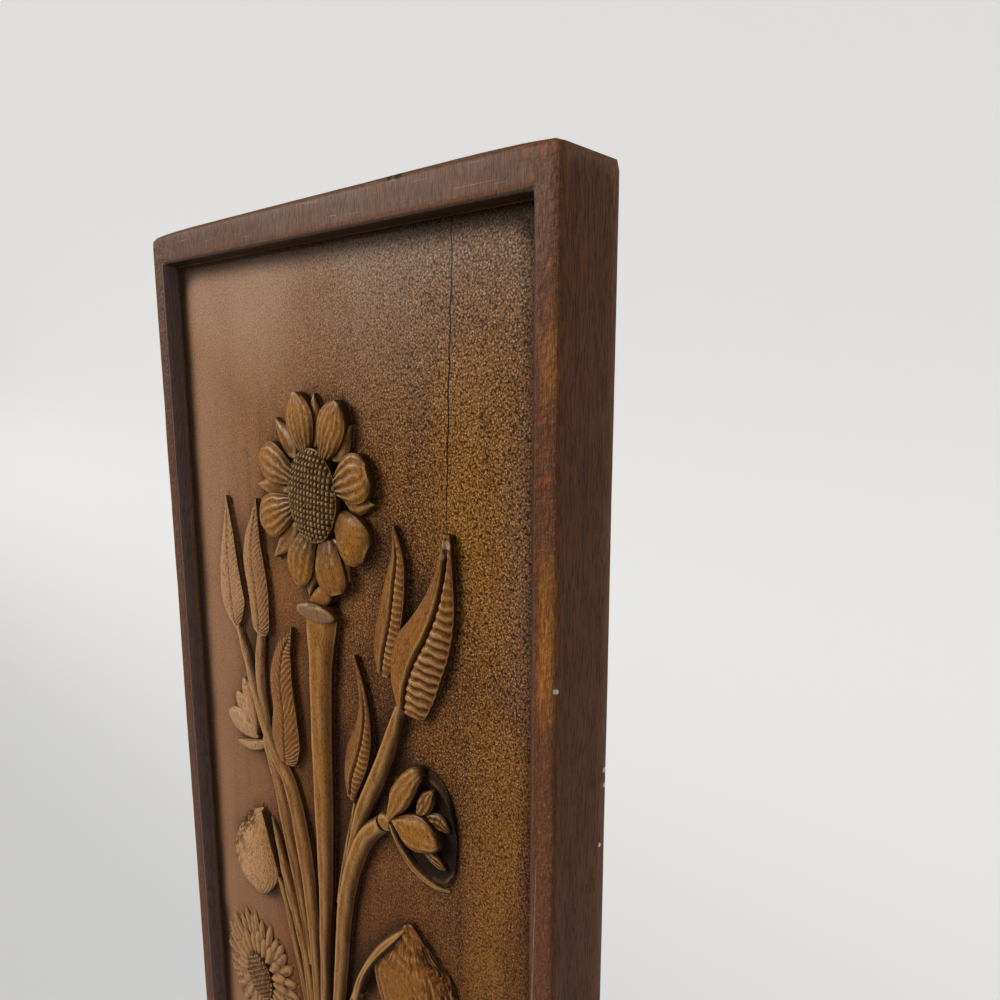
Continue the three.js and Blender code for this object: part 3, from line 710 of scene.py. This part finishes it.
def build_board(settings):
    width, height = HIGH[0] - LOW[0], HIGH[2] - LOW[2]
    half_x = width / 2 - settings.rim_side - settings.wall_slope
    half_z = height / 2 - settings.rim_end - settings.wall_slope
    piece = new_grid("carved_wall_plaque", round(2 * half_x / settings.ground_pitch),
                     round(2 * half_z / settings.ground_pitch))
    u, v = grid_shares(piece)
    x, z = u * half_x, v * half_z
    marks = noise_at(1, 4, x / LONG_MARKS[0], z / LONG_MARKS[1])
    marks = marks + 0.6 * noise_at(1, 9, x / SHORT_MARKS[0], z / SHORT_MARKS[1])
    border = np.minimum(1 - np.abs(u), 1 - np.abs(v))
    y = LOW[1] + settings.sunk_depth + settings.tool_marks * marks * smooth(0, 0.02, border)
    piece.data.vertices.foreach_set("co", np.stack([x, y, z], axis=1).ravel())
    piece.data.update()

    shares = piece.data.attributes.new("ring_share", "FLOAT_VECTOR", "POINT")
    shares.data.foreach_set("vector", np.stack([u, np.zeros_like(u), v], axis=1).ravel())

    make_active(piece)
    bpy.ops.object.mode_set(mode="EDIT")
    bpy.ops.mesh.select_mode(type="EDGE")
    bpy.ops.mesh.select_all(action="DESELECT")
    bpy.ops.mesh.select_non_manifold()
    for side_inset, end_inset, depth in board_rings(settings):
        bpy.ops.mesh.extrude_region_move(TRANSFORM_OT_translate={"value": (0, 0, 0)})
        mesh = bmesh.from_edit_mesh(piece.data)
        layer = mesh.verts.layers.float_vector["ring_share"]
        ring = [vert for vert in mesh.verts if vert.select]
        across = np.array([vert[layer].x for vert in ring])
        up = np.array([vert[layer].z for vert in ring])
        for vert, place in zip(ring, ring_places(across, up, side_inset, end_inset, depth, settings)):
            vert.co = place
        bmesh.update_edit_mesh(piece.data)
    bpy.ops.mesh.edge_face_add()
    bpy.ops.mesh.select_all(action="SELECT")
    bpy.ops.mesh.normals_make_consistent(inside=False)
    bpy.ops.object.mode_set(mode="OBJECT")
    piece.data.attributes.remove(piece.data.attributes["ring_share"])
    return piece


def ring_places(across, up, side_inset, end_inset, depth, settings):
    """Places of one ring round the board, with the wear of its ends and the plane's unevenness."""
    half_x = HIGH[0] - side_inset
    half_z = HIGH[2] - end_inset
    radius = max(settings.corner - 0.4 * min(side_inset, end_inset), 0.6 * MM)
    x, z = rounded(across * half_x, up * half_z, half_x, half_z, radius)
    outer = max(0, 1 - side_inset / settings.rim_side)
    z = z - settings.wear * outer * np.sign(z) * np.abs(x / HIGH[0]) ** 8 * (np.abs(up) > 0.97)
    uneven = UNEVEN * (noise_at(0.055, 7, x, z) + 0.4 * noise_at(0.008, 3, x, z) + 1.4)
    on_side, on_end = np.abs(across) > 0.999, np.abs(up) > 0.999
    x = x - uneven * np.sign(x) * on_side
    z = z - uneven * np.sign(z) * on_end
    front = depth < LOW[1] + 1.2 * MM
    dent = DENT * (noise_at(0.022, 5, x, z) + 0.5 * noise_at(0.006, 8, x, z) + 1.5) * front
    return np.stack([x, np.minimum(depth + dent, 0), z], axis=1)


def unite(base, others, name):
    """Joins the others to the base as one closed solid."""
    group = bpy.data.collections.new(name)
    bpy.context.scene.collection.children.link(group)
    for other in others:
        for owner in list(other.users_collection):
            owner.objects.unlink(other)
        group.objects.link(other)
    make_active(base)
    join = base.modifiers.new(name, "BOOLEAN")
    join.operation = "UNION"
    join.solver = "MANIFOLD"
    join.operand_type = "COLLECTION"
    join.collection = group
    bpy.ops.object.modifier_apply(modifier=name)
    for other in others:
        bpy.data.objects.remove(other, do_unlink=True)
    bpy.data.collections.remove(group)
    if not base.data.polygons:
        raise RuntimeError(f"{name} came out empty")


def spread(values, first, second, count, passes):
    """Averages a value over each vertex's neighbours, several times."""
    share = np.bincount(first, minlength=count) + np.bincount(second, minlength=count) + 1.0
    for _ in range(passes):
        there, back = np.bincount(first, values[second], count), np.bincount(second, values[first], count)
        values = (values + there + back) / share
    return values


def note_hollows(piece):
    """Keeps how hollow each place is, near and far, as attributes that the stain and the painted shade read.
    """
    mesh = piece.data
    count = len(mesh.vertices)
    places = np.empty(count * 3)
    mesh.vertices.foreach_get("co", places)
    places = places.reshape(-1, 3)
    normals = np.empty(count * 3)
    mesh.vertex_normals.foreach_get("vector", normals)
    normals = normals.reshape(-1, 3)
    ends = np.empty(len(mesh.edges) * 2, int)
    mesh.edges.foreach_get("vertices", ends)
    first, second = ends.reshape(-1, 2).T
    step = places[second] - places[first]
    step /= np.maximum(np.linalg.norm(step, axis=1), 1e-9)[:, None]
    lean = np.bincount(first, (normals[first] * step).sum(1), count) - np.bincount(
        second, (normals[second] * step).sum(1), count)
    share = np.maximum(np.bincount(first, minlength=count) + np.bincount(second, minlength=count), 1)
    hollow = lean / share
    for name, passes in (("hollow", 1), ("wide_hollow", 7)):
        layer = mesh.attributes.new(name, "FLOAT", "POINT")
        layer.data.foreach_set("value", spread(hollow, first, second, count, passes).astype(np.float32))


# Shader maths

class Value:
    """A socket that takes part in Python sums; each sum adds a Math node."""

    def __init__(self, shader, socket):
        self.shader = shader
        self.socket = socket

    def math(self, operation, *others):
        return self.shader.add("Math", {"operation": operation}, dict(enumerate((self, *others))))

    def __add__(self, other):
        return self.math("ADD", other)

    def __sub__(self, other):
        return self.math("SUBTRACT", other)

    def __rsub__(self, other):
        return (-self) + other

    def __mul__(self, other):
        return self.math("MULTIPLY", other)

    def __neg__(self):
        return self.math("MULTIPLY", -1)

    def __abs__(self):
        return self.math("ABSOLUTE")

    __radd__ = __add__
    __rmul__ = __mul__

    def least(self, other):
        return self.math("MINIMUM", other)

    def most(self, other):
        return self.math("MAXIMUM", other)

    def step(self, low, high, out_low=0.0, out_high=1.0):
        """A smooth change from out_low to out_high as the value goes from low to high."""
        ends = dict(enumerate((self, low, high, out_low, out_high)))
        return self.shader.add("MapRange", {"interpolation_type": "SMOOTHSTEP"}, ends)


class Shader:
    """A material's nodes, added one by one."""

    def __init__(self, name):
        self.material = bpy.data.materials.new(name)
        self.material.use_nodes = True
        self.tree = self.material.node_tree
        self.tree.nodes.clear()

    def add(self, kind, settings=None, inputs=None, out=0):
        """Adds a node: first its settings, then the values or links of its sockets, by name or number."""
        node = self.tree.nodes.new("ShaderNode" + kind)
        for name, value in (settings or {}).items():
            setattr(node, name, value)
        for name, item in (inputs or {}).items():
            if isinstance(item, Value):
                self.tree.links.new(item.socket, node.inputs[name])
            else:
                node.inputs[name].default_value = item
        return Value(self, node.outputs[out]) if node.outputs else None

    def mix(self, share, first, second):
        return self.add("Mix", {"data_type": "RGBA"}, {0: share, 6: first, 7: second}, 2)

    def vector(self, operation, first, second, out="Vector"):
        return self.add("VectorMath", {"operation": operation}, {0: first, 1: second}, out)

    def parts(self, vector):
        first = self.add("SeparateXYZ", None, {0: vector})
        return [Value(self, socket) for socket in first.socket.node.outputs]

    def noise(self, vector, scale, detail, rough, out=0):
        inputs = {"Vector": vector, "Scale": scale, "Detail": detail, "Roughness": rough}
        return self.add("TexNoise", None, inputs, out)


# The wood's look. Zones are in millimetres from the middle of the board.

# Noises of the wood: how much of the height counts along the grain, scale, detail and roughness
GRAIN = {
    "streaks": (0.07, 160, 4, 0.6),
    "fine": (0.07, 900, 3, 0.6),
    "pores": (0.07, 3200, 2, 0.5),
    "flecks": (0.22, 3600, 2, 0.5),
    "broad": (0.35, 22, 3, 0.5),
    "mottle": (1, 60, 4, 0.6),
    "spots": (1, 230, 2, 0.5),
    "dimples": (1, 620, 2, 0.5),
    "crests": (1, 1300, 2, 0.5),
    "small": (1, 1900, 3, 0.65),
}
# Tones that go with the ones in WoodLook
# LEFT_SHEEN is painted sheen that pales the carving on the left.
LEFT_SHEEN = (0.52, 0.28, 0.13, 1)
# WALL_SHEEN is a greyish painted sheen on the rim's left inner wall.
WALL_SHEEN = (0.17, 0.115, 0.105, 1)
RUBBED_RIM = (0.42, 0.155, 0.012, 1)
RED_SPOT = (0.40, 0.09, 0.02, 1)
CRACK_DARK = (0.004, 0.002, 0.001, 1)
# The gloss is soft: a low IOR, and a coat only where the wax has been rubbed
IOR = 1.2
COAT_ROUGHNESS = 0.32
BUMP_DEPTH = 0.5 * MM


class Wood(Shader):
    """The stained wood: the board's zones and grain, and the colours of its ground, carving and rim."""

    def __init__(self, look, sizes):
        super().__init__(SLOT)
        self.dark, self.brown, self.gold, self.pale, self.glint, self.rim, self.pale_wear_and_sheen = (
            tuple(tone) for tone in (
                look.dark, look.brown, look.gold, look.pale, look.glint, look.rim, look.pale_wear_and_sheen))
        self.place = self.add("TexCoord", out="Object")
        self.x, self.y, self.z = (part * PER_METRE for part in self.parts(self.place))
        self.facing = -self.parts(self.add("TexCoord", out="Normal"))[1]
        self.hollow = self.add("Attribute", {"attribute_name": "hollow"}, out="Fac")
        self.wide_hollow = self.add("Attribute", {"attribute_name": "wide_hollow"}, out="Fac")
        self.find_zones(sizes)
        self.find_stipple(look.stipple)
        self.find_crack()
        self.streaks, self.fine, self.broad = map(self.grain, ("streaks", "fine", "broad"))
        self.mottle, self.small, self.dimples = map(self.grain, ("mottle", "small", "dimples"))
        self.pores = self.grain("pores").step(0.52, 0.64)
        self.flecks = self.grain("flecks").step(0.56, 0.68)
        self.in_cup = self.away_from(BUD_CUP_AT, BUD_CUP_SQUASH)
        self.painted_sheen = self.painted_sheen_mask()
        self.stain_and_shade = self.shade_and_stain_mask()

    def grain(self, name):
        along, scale, detail, rough = GRAIN[name]
        return self.noise(self.vector("MULTIPLY", self.place, (1, 1, along)), scale, detail, rough)

    def away_from(self, centre, squash=1):
        """Distance from a spot on the front, with heights first scaled by `squash`."""
        spot = (centre[0] * MM, 0, centre[1] * MM * squash)
        flat = self.vector("MULTIPLY", self.place, (1, 0, squash))
        return self.vector("DISTANCE", flat, spot, "Value") * PER_METRE

    def find_zones(self, sizes):
        """Masks from 0 to 1 of the sunk field, its walls, the ground, the carving and the rim's front."""
        slope, depth = sizes.wall_slope * PER_METRE, sizes.sunk_depth * PER_METRE
        half_x = HIGH[0] * PER_METRE - sizes.rim_side * PER_METRE
        half_z = HIGH[2] * PER_METRE - sizes.rim_end * PER_METRE
        self.above = -self.y - (-LOW[1] * PER_METRE - depth)
        self.rail = self.z.step(half_z, half_z + 1)
        sunk = self.above.step(-1.2, -0.6)

        def inside(margin, blur):
            across = abs(self.x).step(half_x - margin, half_x - margin + blur, 1, 0)
            return across * abs(self.z).step(half_z - margin, half_z - margin + blur, 1, 0)
        self.field = inside(slope + 0.2, 0.3) * sunk
        self.walls = inside(-0.4, 0.5) * sunk * (1 - self.field)
        self.carved = self.field * self.above.step(0.35, 0.9)
        self.ground = self.field * (1 - self.carved)
        self.rim_front = (1 - self.field) * (1 - self.walls) * self.facing.step(0.4, 0.9)

    def find_stipple(self, size):
        """The stippled ground, softer at the left: its relief, its pits and its tips, which carry painted
        highlights.
        """
        swirl = self.noise(self.place, 700, 2, 0.5, "Color")
        shift = self.add("VectorMath", {"operation": "SCALE"}, {0: swirl, "Scale": 0.8 * MM})
        warped = self.vector("ADD", self.place, shift)
        cells = self.add("TexVoronoi", None, {"Vector": warped, "Scale": 1 / size})
        self.stipple = (1 - cells) * 0.40 + self.noise(warped, 1800, 4, 0.7) * 0.75
        self.clear = self.x.step(-50, 60, 0.25, 1.0)
        self.pits = self.stipple.step(0.45, 0.57, 1, 0)
        self.tips = self.stipple.step(0.61, 0.77)

    def find_crack(self):
        """The crack that runs down from the top rail, and the short split beside the right rim's wall."""
        along = self.vector("MULTIPLY", self.place, (0, 0, 1))
        wander = (self.noise(along, 70, 3, 0.6) - 0.5) * 3.4
        line = abs(self.x - 50.2 - self.z * 0.045 - wander)
        self.crack = line.step(0.05, 0.42, 1, 0) * self.z.step(100, 150) * self.ground
        line = abs(self.x - 92.9 - self.z * 0.028 - wander * 0.15)
        self.split = line.step(0.08, 0.25, 1, 0) * self.z.step(45, 30)

    def painted_sheen_mask(self):
        """Where sheen is painted: on the left, under the top rail and near the right rim."""
        left = self.x.step(-20, -86) * 0.78
        top = self.z.step(135, 190) * self.x.step(90, 30, 0.55, 0.9)
        right = self.x.step(70, 88) * self.z.step(40, 110) * 0.5
        return left.most(top).most(right) * self.broad.step(0.25, 0.65, 0.55, 1.0)

    def shade_and_stain_mask(self):
        """Dark stain and painted shade in hollows near and wide, painted shade on steep sides of the carving
        and on the floor of the bud's cup.
        """
        low = self.above.step(1.7, 1.1) * self.in_cup.step(17, 14) * 0.95
        steep = self.facing.step(0.93, 0.40) * self.carved * 0.76
        near, wide = self.hollow.step(0.02, 0.16) * 0.85, self.wide_hollow.step(0.010, 0.08) * 0.85
        return near.most(wide).most(steep).most(low)

    def ground_colour(self):
        x, z = self.x, self.z
        worn_edge = x.step(52, 74) * self.broad.step(0.46, 0.60) * 0.9
        worn_patch = x.step(44, 58) * x.step(86, 72) * z.step(70, 110) * z.step(160, 188, 1, 0)
        worn = worn_edge.most(worn_patch).most(x.step(0, 60) * 0.15)
        # The share of gold grows towards the top: painted light on the upper ground.
        golden = self.mottle.step(0.3, 0.75) * 0.30 + worn * 0.7 + z.step(40, 170) * 0.25
        colour = self.mix(golden.least(1.0), self.brown, self.gold)
        colour = self.mix(self.streaks.step(0.52, 0.75) * 0.40, colour, self.dark)
        # Painted sheen on the left, under the top rail and near the right rim.
        colour = self.mix(self.painted_sheen, colour, self.pale_wear_and_sheen)
        colour = self.mix(self.pits * self.clear * z.step(-80, 90, 0.55, 0.9), colour, self.dark)
        # Painted highlights on the tips of the stipple, stronger towards the top and the right.
        return self.mix(self.tips * self.clear * z.step(-50, 120, 0.22, 0.86), colour, self.glint)

    def relief_colour(self):
        golden = self.above.step(0.8, 5.0) * 0.70 + self.mottle.step(0.35, 0.8) * 0.30 - 0.05
        colour = self.mix(golden.least(1), self.brown, self.gold)
        colour = self.mix(self.fine.step(0.45, 0.75) * 0.50, colour, self.brown)
        # Painted sheen pales the carving on the left.
        colour = self.mix(self.x.step(-26, -58) * 0.78, colour, LEFT_SHEEN)
        colour = self.mix(self.flecks * 0.60, colour, self.dark)
        away = self.away_from(FLOWER_AT, SEED_HEAD[0] / SEED_HEAD[1])
        colour = self.mix(away.step(SEED_HEAD[0] + 12, SEED_HEAD[0] - 2) * 0.62, colour, self.dark)
        for centre in ASTERS:
            away = self.away_from(centre)
            colour = self.mix(away.step(ASTER_BUTTON + 1, ASTER_BUTTON - 1) * 0.55, colour, self.dark)
            colour = self.mix(away.step(32, 26) * 0.6, colour, self.rim)
        # Painted shade inside the bud's cup.
        colour = self.mix(self.in_cup.step(20, 15) * self.above.step(4.0, 2.0) * 0.6, colour, self.dark)
        return self.mix(self.hollow.step(-0.01, -0.10) * 0.60, colour, self.pale)

    def rim_colour(self):
        x, z, front, walls = self.x, self.z, self.rim_front, self.walls
        middle = z.step(74, 84) * z.step(116, 130, 1, 0)
        upper = z.step(158, 164) * z.step(172, 180, 1, 0)
        lower = self.broad.step(0.5, 0.6) * z.step(60, 20) * 0.8
        streak = x.step(93.0, 95.5) * middle.most(upper).most(lower)
        rubbed = streak * self.mottle.step(0.35, 0.6, 0.2, 0.62) + self.mottle.step(0.55, 0.85) * 0.30
        bare = self.mix(self.pores * 0.7, RUBBED_RIM, self.brown)
        colour = self.mix(rubbed.least(1.0) * front, self.rim, bare)
        # Painted highlights on the crests of fine dimples on the right rim.
        crests = self.grain("crests").step(0.58, 0.70) * x.step(90, 97)
        colour = self.mix(crests * front * 0.35, colour, self.pale_wear_and_sheen)
        spots = self.grain("spots").step(0.60, 0.68) * x.step(92.5, 94.5) * z.step(60, 110)
        colour = self.mix(spots * front * 0.35, colour, RED_SPOT)
        colour = self.mix(self.streaks.step(0.45, 0.75) * (0.36 - front * 0.16), colour, self.dark)
        colour = self.mix(self.pores * (0.50 - front * 0.38), colour, self.dark)
        not_back = self.facing.step(-0.95, -0.6)
        edge_tone = tuple((a + b) / 2 for a, b in zip(self.rim, self.pale_wear_and_sheen))
        colour = self.mix(self.hollow.step(-0.02, -0.14) * not_back * 0.5, colour, edge_tone)
        # Painted shade on the inner walls at the top, bottom and right.
        colour = self.mix(walls * x.step(-92, -89, 0, 0.78), colour, self.dark)
        # A greyish painted sheen on the left inner wall.
        return self.mix(walls * x.step(-89, -91) * 0.85, colour, WALL_SHEEN)

    def marked(self, colour):
        """The colour with the stain and painted shade, the crack, scratches on the top rail, the split and
        the flecks, among them the painted shadow in two chips.
        """
        # Stain and painted shade in hollows and on steep sides.
        colour = self.mix(self.stain_and_shade * self.field, colour, self.dark)
        colour = self.mix(self.crack, colour, CRACK_DARK)
        across = self.vector("MULTIPLY", self.place, (0.05, 1, 1))
        scratches = self.noise(across, 1500, 1, 0.4).step(0.70, 0.73) * self.rail
        colour = self.mix((scratches * 0.55).most(self.split * 0.6) * self.rim_front, colour, self.pale_wear_and_sheen)
        for x, y, z, radius, tone in FLECKS:
            away = self.vector("DISTANCE", self.place, (x * MM, y * MM, z * MM), "Value") * PER_METRE
            away = away + (self.small - 0.5) * FLECK_RAGGED
            strength = FLECK_FAINT if radius > FLECK_WIDE else FLECK_STRONG
            colour = self.mix(away.step(radius * 0.7, radius, 1, 0) * strength, colour, tone)
        return colour

    def height(self):
        """Relief for the bump node: stipple on the ground, fibres on the carving, dimples on the rim."""
        ground = (self.stipple * 3.2 + self.small * 0.5) * self.ground * self.clear - self.crack * 2.5
        carving = (self.fine * 0.7 + self.small * 0.45 - self.flecks * 0.7) * self.carved
        rim = self.fine * 0.30 + self.mottle * 0.5 - self.pores * 0.8 + self.small * 0.25
        rim = rim + self.dimples * 3.4 * self.rim_front * abs(self.x).step(88, 92, 0.15, 1)
        return ground + carving + rim * (1 - self.field) * 0.6

    def shine(self):
        """How much coat there is: where sheen is painted, on the tips and crests, the walls and the rim."""
        tips = self.tips * self.ground * self.clear * 0.35
        crests = self.carved * (0.03 + self.hollow.step(0, -0.08) * 0.25)
        coat = (self.painted_sheen * self.field * 0.30).most(tips).most(crests).most(self.walls * 0.30)
        return coat.most(self.rim_front * 0.08) * (1 - self.stain_and_shade)

    def roughness(self):
        rough = 0.46 + self.mottle.step(0.3, 0.8) * 0.12 + self.stain_and_shade * 0.25
        return rough + (1 - self.field) * 0.06 + self.pits * self.ground * 0.2


def finished(shader, inputs):
    """Ends a material with the surface that has these inputs."""
    surface = shader.add("BsdfPrincipled", None, inputs)
    shader.add("OutputMaterial", None, {0: surface})
    return shader.material


def wood_material(look, sizes):
    wood = Wood(look, sizes)
    colour = wood.mix(wood.ground, wood.rim_colour(), wood.ground_colour())
    colour = wood.mix(wood.carved, colour, wood.relief_colour())
    bump = wood.add("Bump", None, {"Strength": 1.0, "Distance": BUMP_DEPTH, "Height": wood.height()})
    return finished(wood, {
        "Base Color": wood.marked(colour), "Roughness": wood.roughness(), "Coat Weight": wood.shine(),
        "Normal": bump, "IOR": IOR, "Coat Roughness": COAT_ROUGHNESS})


def stage_material(look):
    return finished(Shader("pale_paint"), {"Base Color": tuple(look.floor), "Roughness": 0.85})


# Operators

SHARP_FROM = math.radians(38)
BACK_FACING = 0.999
# The floor, in metres: its height, half width and whole run, the level part of the run, the radius
# of the bend and the place of the upright part
FLOOR_Z, FLOOR_HALF, FLOOR_RUN = -2.6, 16, 12.0
FLAT, BEND, WALL_AT = 5.0, 2.6, 4.2
ROOM_COLOUR = (0.97, 0.98, 1.0, 1)
KEY_COLOUR = (1.0, 0.97, 0.92)
KEY_FROM = (-1.5, -1.35, 0.8)
# The camera's place in metres and its axes, found from the plaque's right angles in the photo
CAMERA_AT = (0.207597, -0.166920, 0.166883)
CAMERA_RIGHT = (0.750392642, 0.660992063, -0.000611871)
CAMERA_DOWN = (0.107157626, -0.122564258, -0.986658627)
CAMERA_AHEAD = (-0.652248515, 0.740315808, -0.162801657)


class PLAQUE_OT_board(bpy.types.Operator):
    """Builds the plank with its raised rim and sunk ground"""

    bl_idname = "plaque.board"
    bl_label = "Board"

    def execute(self, context):
        build_board(context.scene.plaque_sizes)
        return {"FINISHED"}


class CarvingOperator:
    """Shared by the operators that carve one group of pieces of the bouquet."""

    def execute(self, context):
        pieces = self.build(context.scene.plaque_sizes)
        if not pieces:
            raise RuntimeError(f"{self.bl_label} made nothing")
        unite(pieces[0], pieces[1:], self.group)
        pieces[0].name = self.group
        return {"FINISHED"}


class PLAQUE_OT_sunflower(CarvingOperator, bpy.types.Operator):
    """Carves the sunflower: sepals, petals and the studded seed head"""

    bl_idname = "plaque.sunflower"
    bl_label = "Sunflower"
    group = "carved_sunflower"
    build = staticmethod(build_sunflower)


class PLAQUE_OT_stems(CarvingOperator, bpy.types.Operator):
    """Carves the stems, the collar and the tie"""

    bl_idname = "plaque.stems"
    bl_label = "Stems"
    group = "carved_stems"
    build = staticmethod(build_stems)


class PLAQUE_OT_leaves(CarvingOperator, bpy.types.Operator):
    """Carves the veined, ribbed and drooping leaves"""

    bl_idname = "plaque.leaves"
    bl_label = "Leaves"
    group = "carved_leaves"
    build = staticmethod(build_leaves)


class PLAQUE_OT_buds(CarvingOperator, bpy.types.Operator):
    """Carves the two half-open buds"""

    bl_idname = "plaque.buds"
    bl_label = "Buds"
    group = "carved_buds"
    build = staticmethod(build_buds)


class PLAQUE_OT_asters(CarvingOperator, bpy.types.Operator):
    """Carves the two asters low in the bouquet"""

    bl_idname = "plaque.asters"
    bl_label = "Asters"
    group = "carved_asters"
    build = staticmethod(build_asters)


class PLAQUE_OT_finish(bpy.types.Operator):
    """Joins the carving to the plank, stains it and lets it stand for the solid"""

    bl_idname = "plaque.finish"
    bl_label = "Join and stain"

    def execute(self, context):
        scene = context.scene
        groups = [bpy.data.objects[step.group] for step in STEPS if issubclass(step, CarvingOperator)]
        piece = bpy.data.objects["carved_wall_plaque"]
        unite(piece, groups, "carving")
        make_active(piece)
        bpy.ops.object.shade_smooth_by_angle(angle=SHARP_FROM)
        # The big back face keeps its own direction, or its rounded edge would shade it in bands
        for face in piece.data.polygons:
            if face.normal.y > BACK_FACING:
                face.use_smooth = False
        note_hollows(piece)
        piece.data.materials.clear()
        piece.data.materials.append(wood_material(scene.plaque_wood, scene.plaque_sizes))
        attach(piece, "root")
        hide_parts("carved_plaque")
        return {"FINISHED"}


def aimed(place, target):
    """A matrix at `place` whose -Z looks at the target."""
    turn = (Vector(target) - Vector(place)).to_track_quat("-Z", "Y")
    return Matrix.Translation(place) @ turn.to_matrix().to_4x4()


def swept_back(run):
    """Place (y, z) of the floor after a run from its front: level, then round the bend, then up."""
    turn = (run - FLAT) / BEND
    if turn < 0:
        return WALL_AT - BEND - FLAT + run, 0
    if turn < math.pi / 2:
        return WALL_AT - BEND + BEND * math.sin(turn), BEND * (1 - math.cos(turn))
    return WALL_AT, BEND + (run - FLAT - BEND * math.pi / 2) * 2


class PLAQUE_OT_stage(bpy.types.Operator):
    """Sets up the pale floor with its curved backdrop, the soft lights and the camera"""

    bl_idname = "plaque.stage"
    bl_label = "Stage"

    def execute(self, context):
        scene, look = context.scene, context.scene.plaque_stage
        deselect()
        bpy.ops.mesh.primitive_grid_add(x_subdivisions=1, y_subdivisions=40, size=2, location=(0, 0, 0))
        floor = context.object
        floor.name = "floor"
        for vert in floor.data.vertices:
            y, z = swept_back((vert.co.y + 1) / 2 * FLOOR_RUN)
            vert.co = (vert.co.x * FLOOR_HALF, y, FLOOR_Z + z)
        bpy.ops.object.shade_smooth()
        floor.data.materials.append(stage_material(look))

        world = bpy.data.worlds.new("pale_room")
        world.use_nodes = True
        world.node_tree.nodes["Background"].inputs[0].default_value = ROOM_COLOUR
        world.node_tree.nodes["Background"].inputs[1].default_value = look.room
        scene.world = world
        scene.view_settings.view_transform = "Standard"
        key = bpy.data.lights.new("key_light", "SUN")
        key.energy = look.sun
        key.angle = look.softness
        key.color = KEY_COLOUR
        sun = bpy.data.objects.new("key_light", key)
        sun.matrix_world = aimed(KEY_FROM, (0, 0, 0))
        scene.collection.objects.link(sun)

        lens = bpy.data.cameras.new("photo_camera")
        lens.lens = look.lens
        lens.sensor_width = 36
        lens.clip_start = 0.01
        camera = bpy.data.objects.new("photo_camera", lens)
        right, down, ahead = (Vector(way) for way in (CAMERA_RIGHT, CAMERA_DOWN, CAMERA_AHEAD))
        turn = Matrix((right, -down, -ahead)).transposed()
        camera.matrix_world = Matrix.Translation(CAMERA_AT) @ turn.to_4x4()
        scene.collection.objects.link(camera)
        scene.camera = camera
        return {"FINISHED"}


class PLAQUE_PT_sidebar(bpy.types.Panel):
    """Lists the plaque's sizes, colours and building steps"""

    bl_label = "Carved wall plaque"
    bl_idname = "PLAQUE_PT_sidebar"
    bl_space_type = "VIEW_3D"
    bl_region_type = "UI"
    bl_category = "Plaque"

    def draw(self, context):
        for group in (context.scene.plaque_sizes, context.scene.plaque_wood, context.scene.plaque_stage):
            box = self.layout.box()
            for name in group.__annotations__:
                box.prop(group, name)
        for operator in STEPS:
            self.layout.operator(operator.bl_idname)


STEPS = (
    PLAQUE_OT_board,
    PLAQUE_OT_stems,
    PLAQUE_OT_leaves,
    PLAQUE_OT_asters,
    PLAQUE_OT_buds,
    PLAQUE_OT_sunflower,
    PLAQUE_OT_finish,
    PLAQUE_OT_stage,
)
CLASSES = (PlaqueSizes, WoodLook, StageLook, *STEPS, PLAQUE_PT_sidebar)


def register():
    for item in CLASSES:
        bpy.utils.register_class(item)
    bpy.types.Scene.plaque_sizes = PointerProperty(type=PlaqueSizes)
    bpy.types.Scene.plaque_wood = PointerProperty(type=WoodLook)
    bpy.types.Scene.plaque_stage = PointerProperty(type=StageLook)


def unregister():
    del bpy.types.Scene.plaque_stage
    del bpy.types.Scene.plaque_wood
    del bpy.types.Scene.plaque_sizes
    for item in reversed(CLASSES):
        bpy.utils.unregister_class(item)


def main():
    register()
    bpy.ops.plaque.board()
    bpy.ops.plaque.stems()
    bpy.ops.plaque.leaves()
    bpy.ops.plaque.asters()
    bpy.ops.plaque.buds()
    bpy.ops.plaque.sunflower()
    bpy.ops.plaque.finish()
    bpy.ops.plaque.stage()


if __name__ == "__main__":
    main()
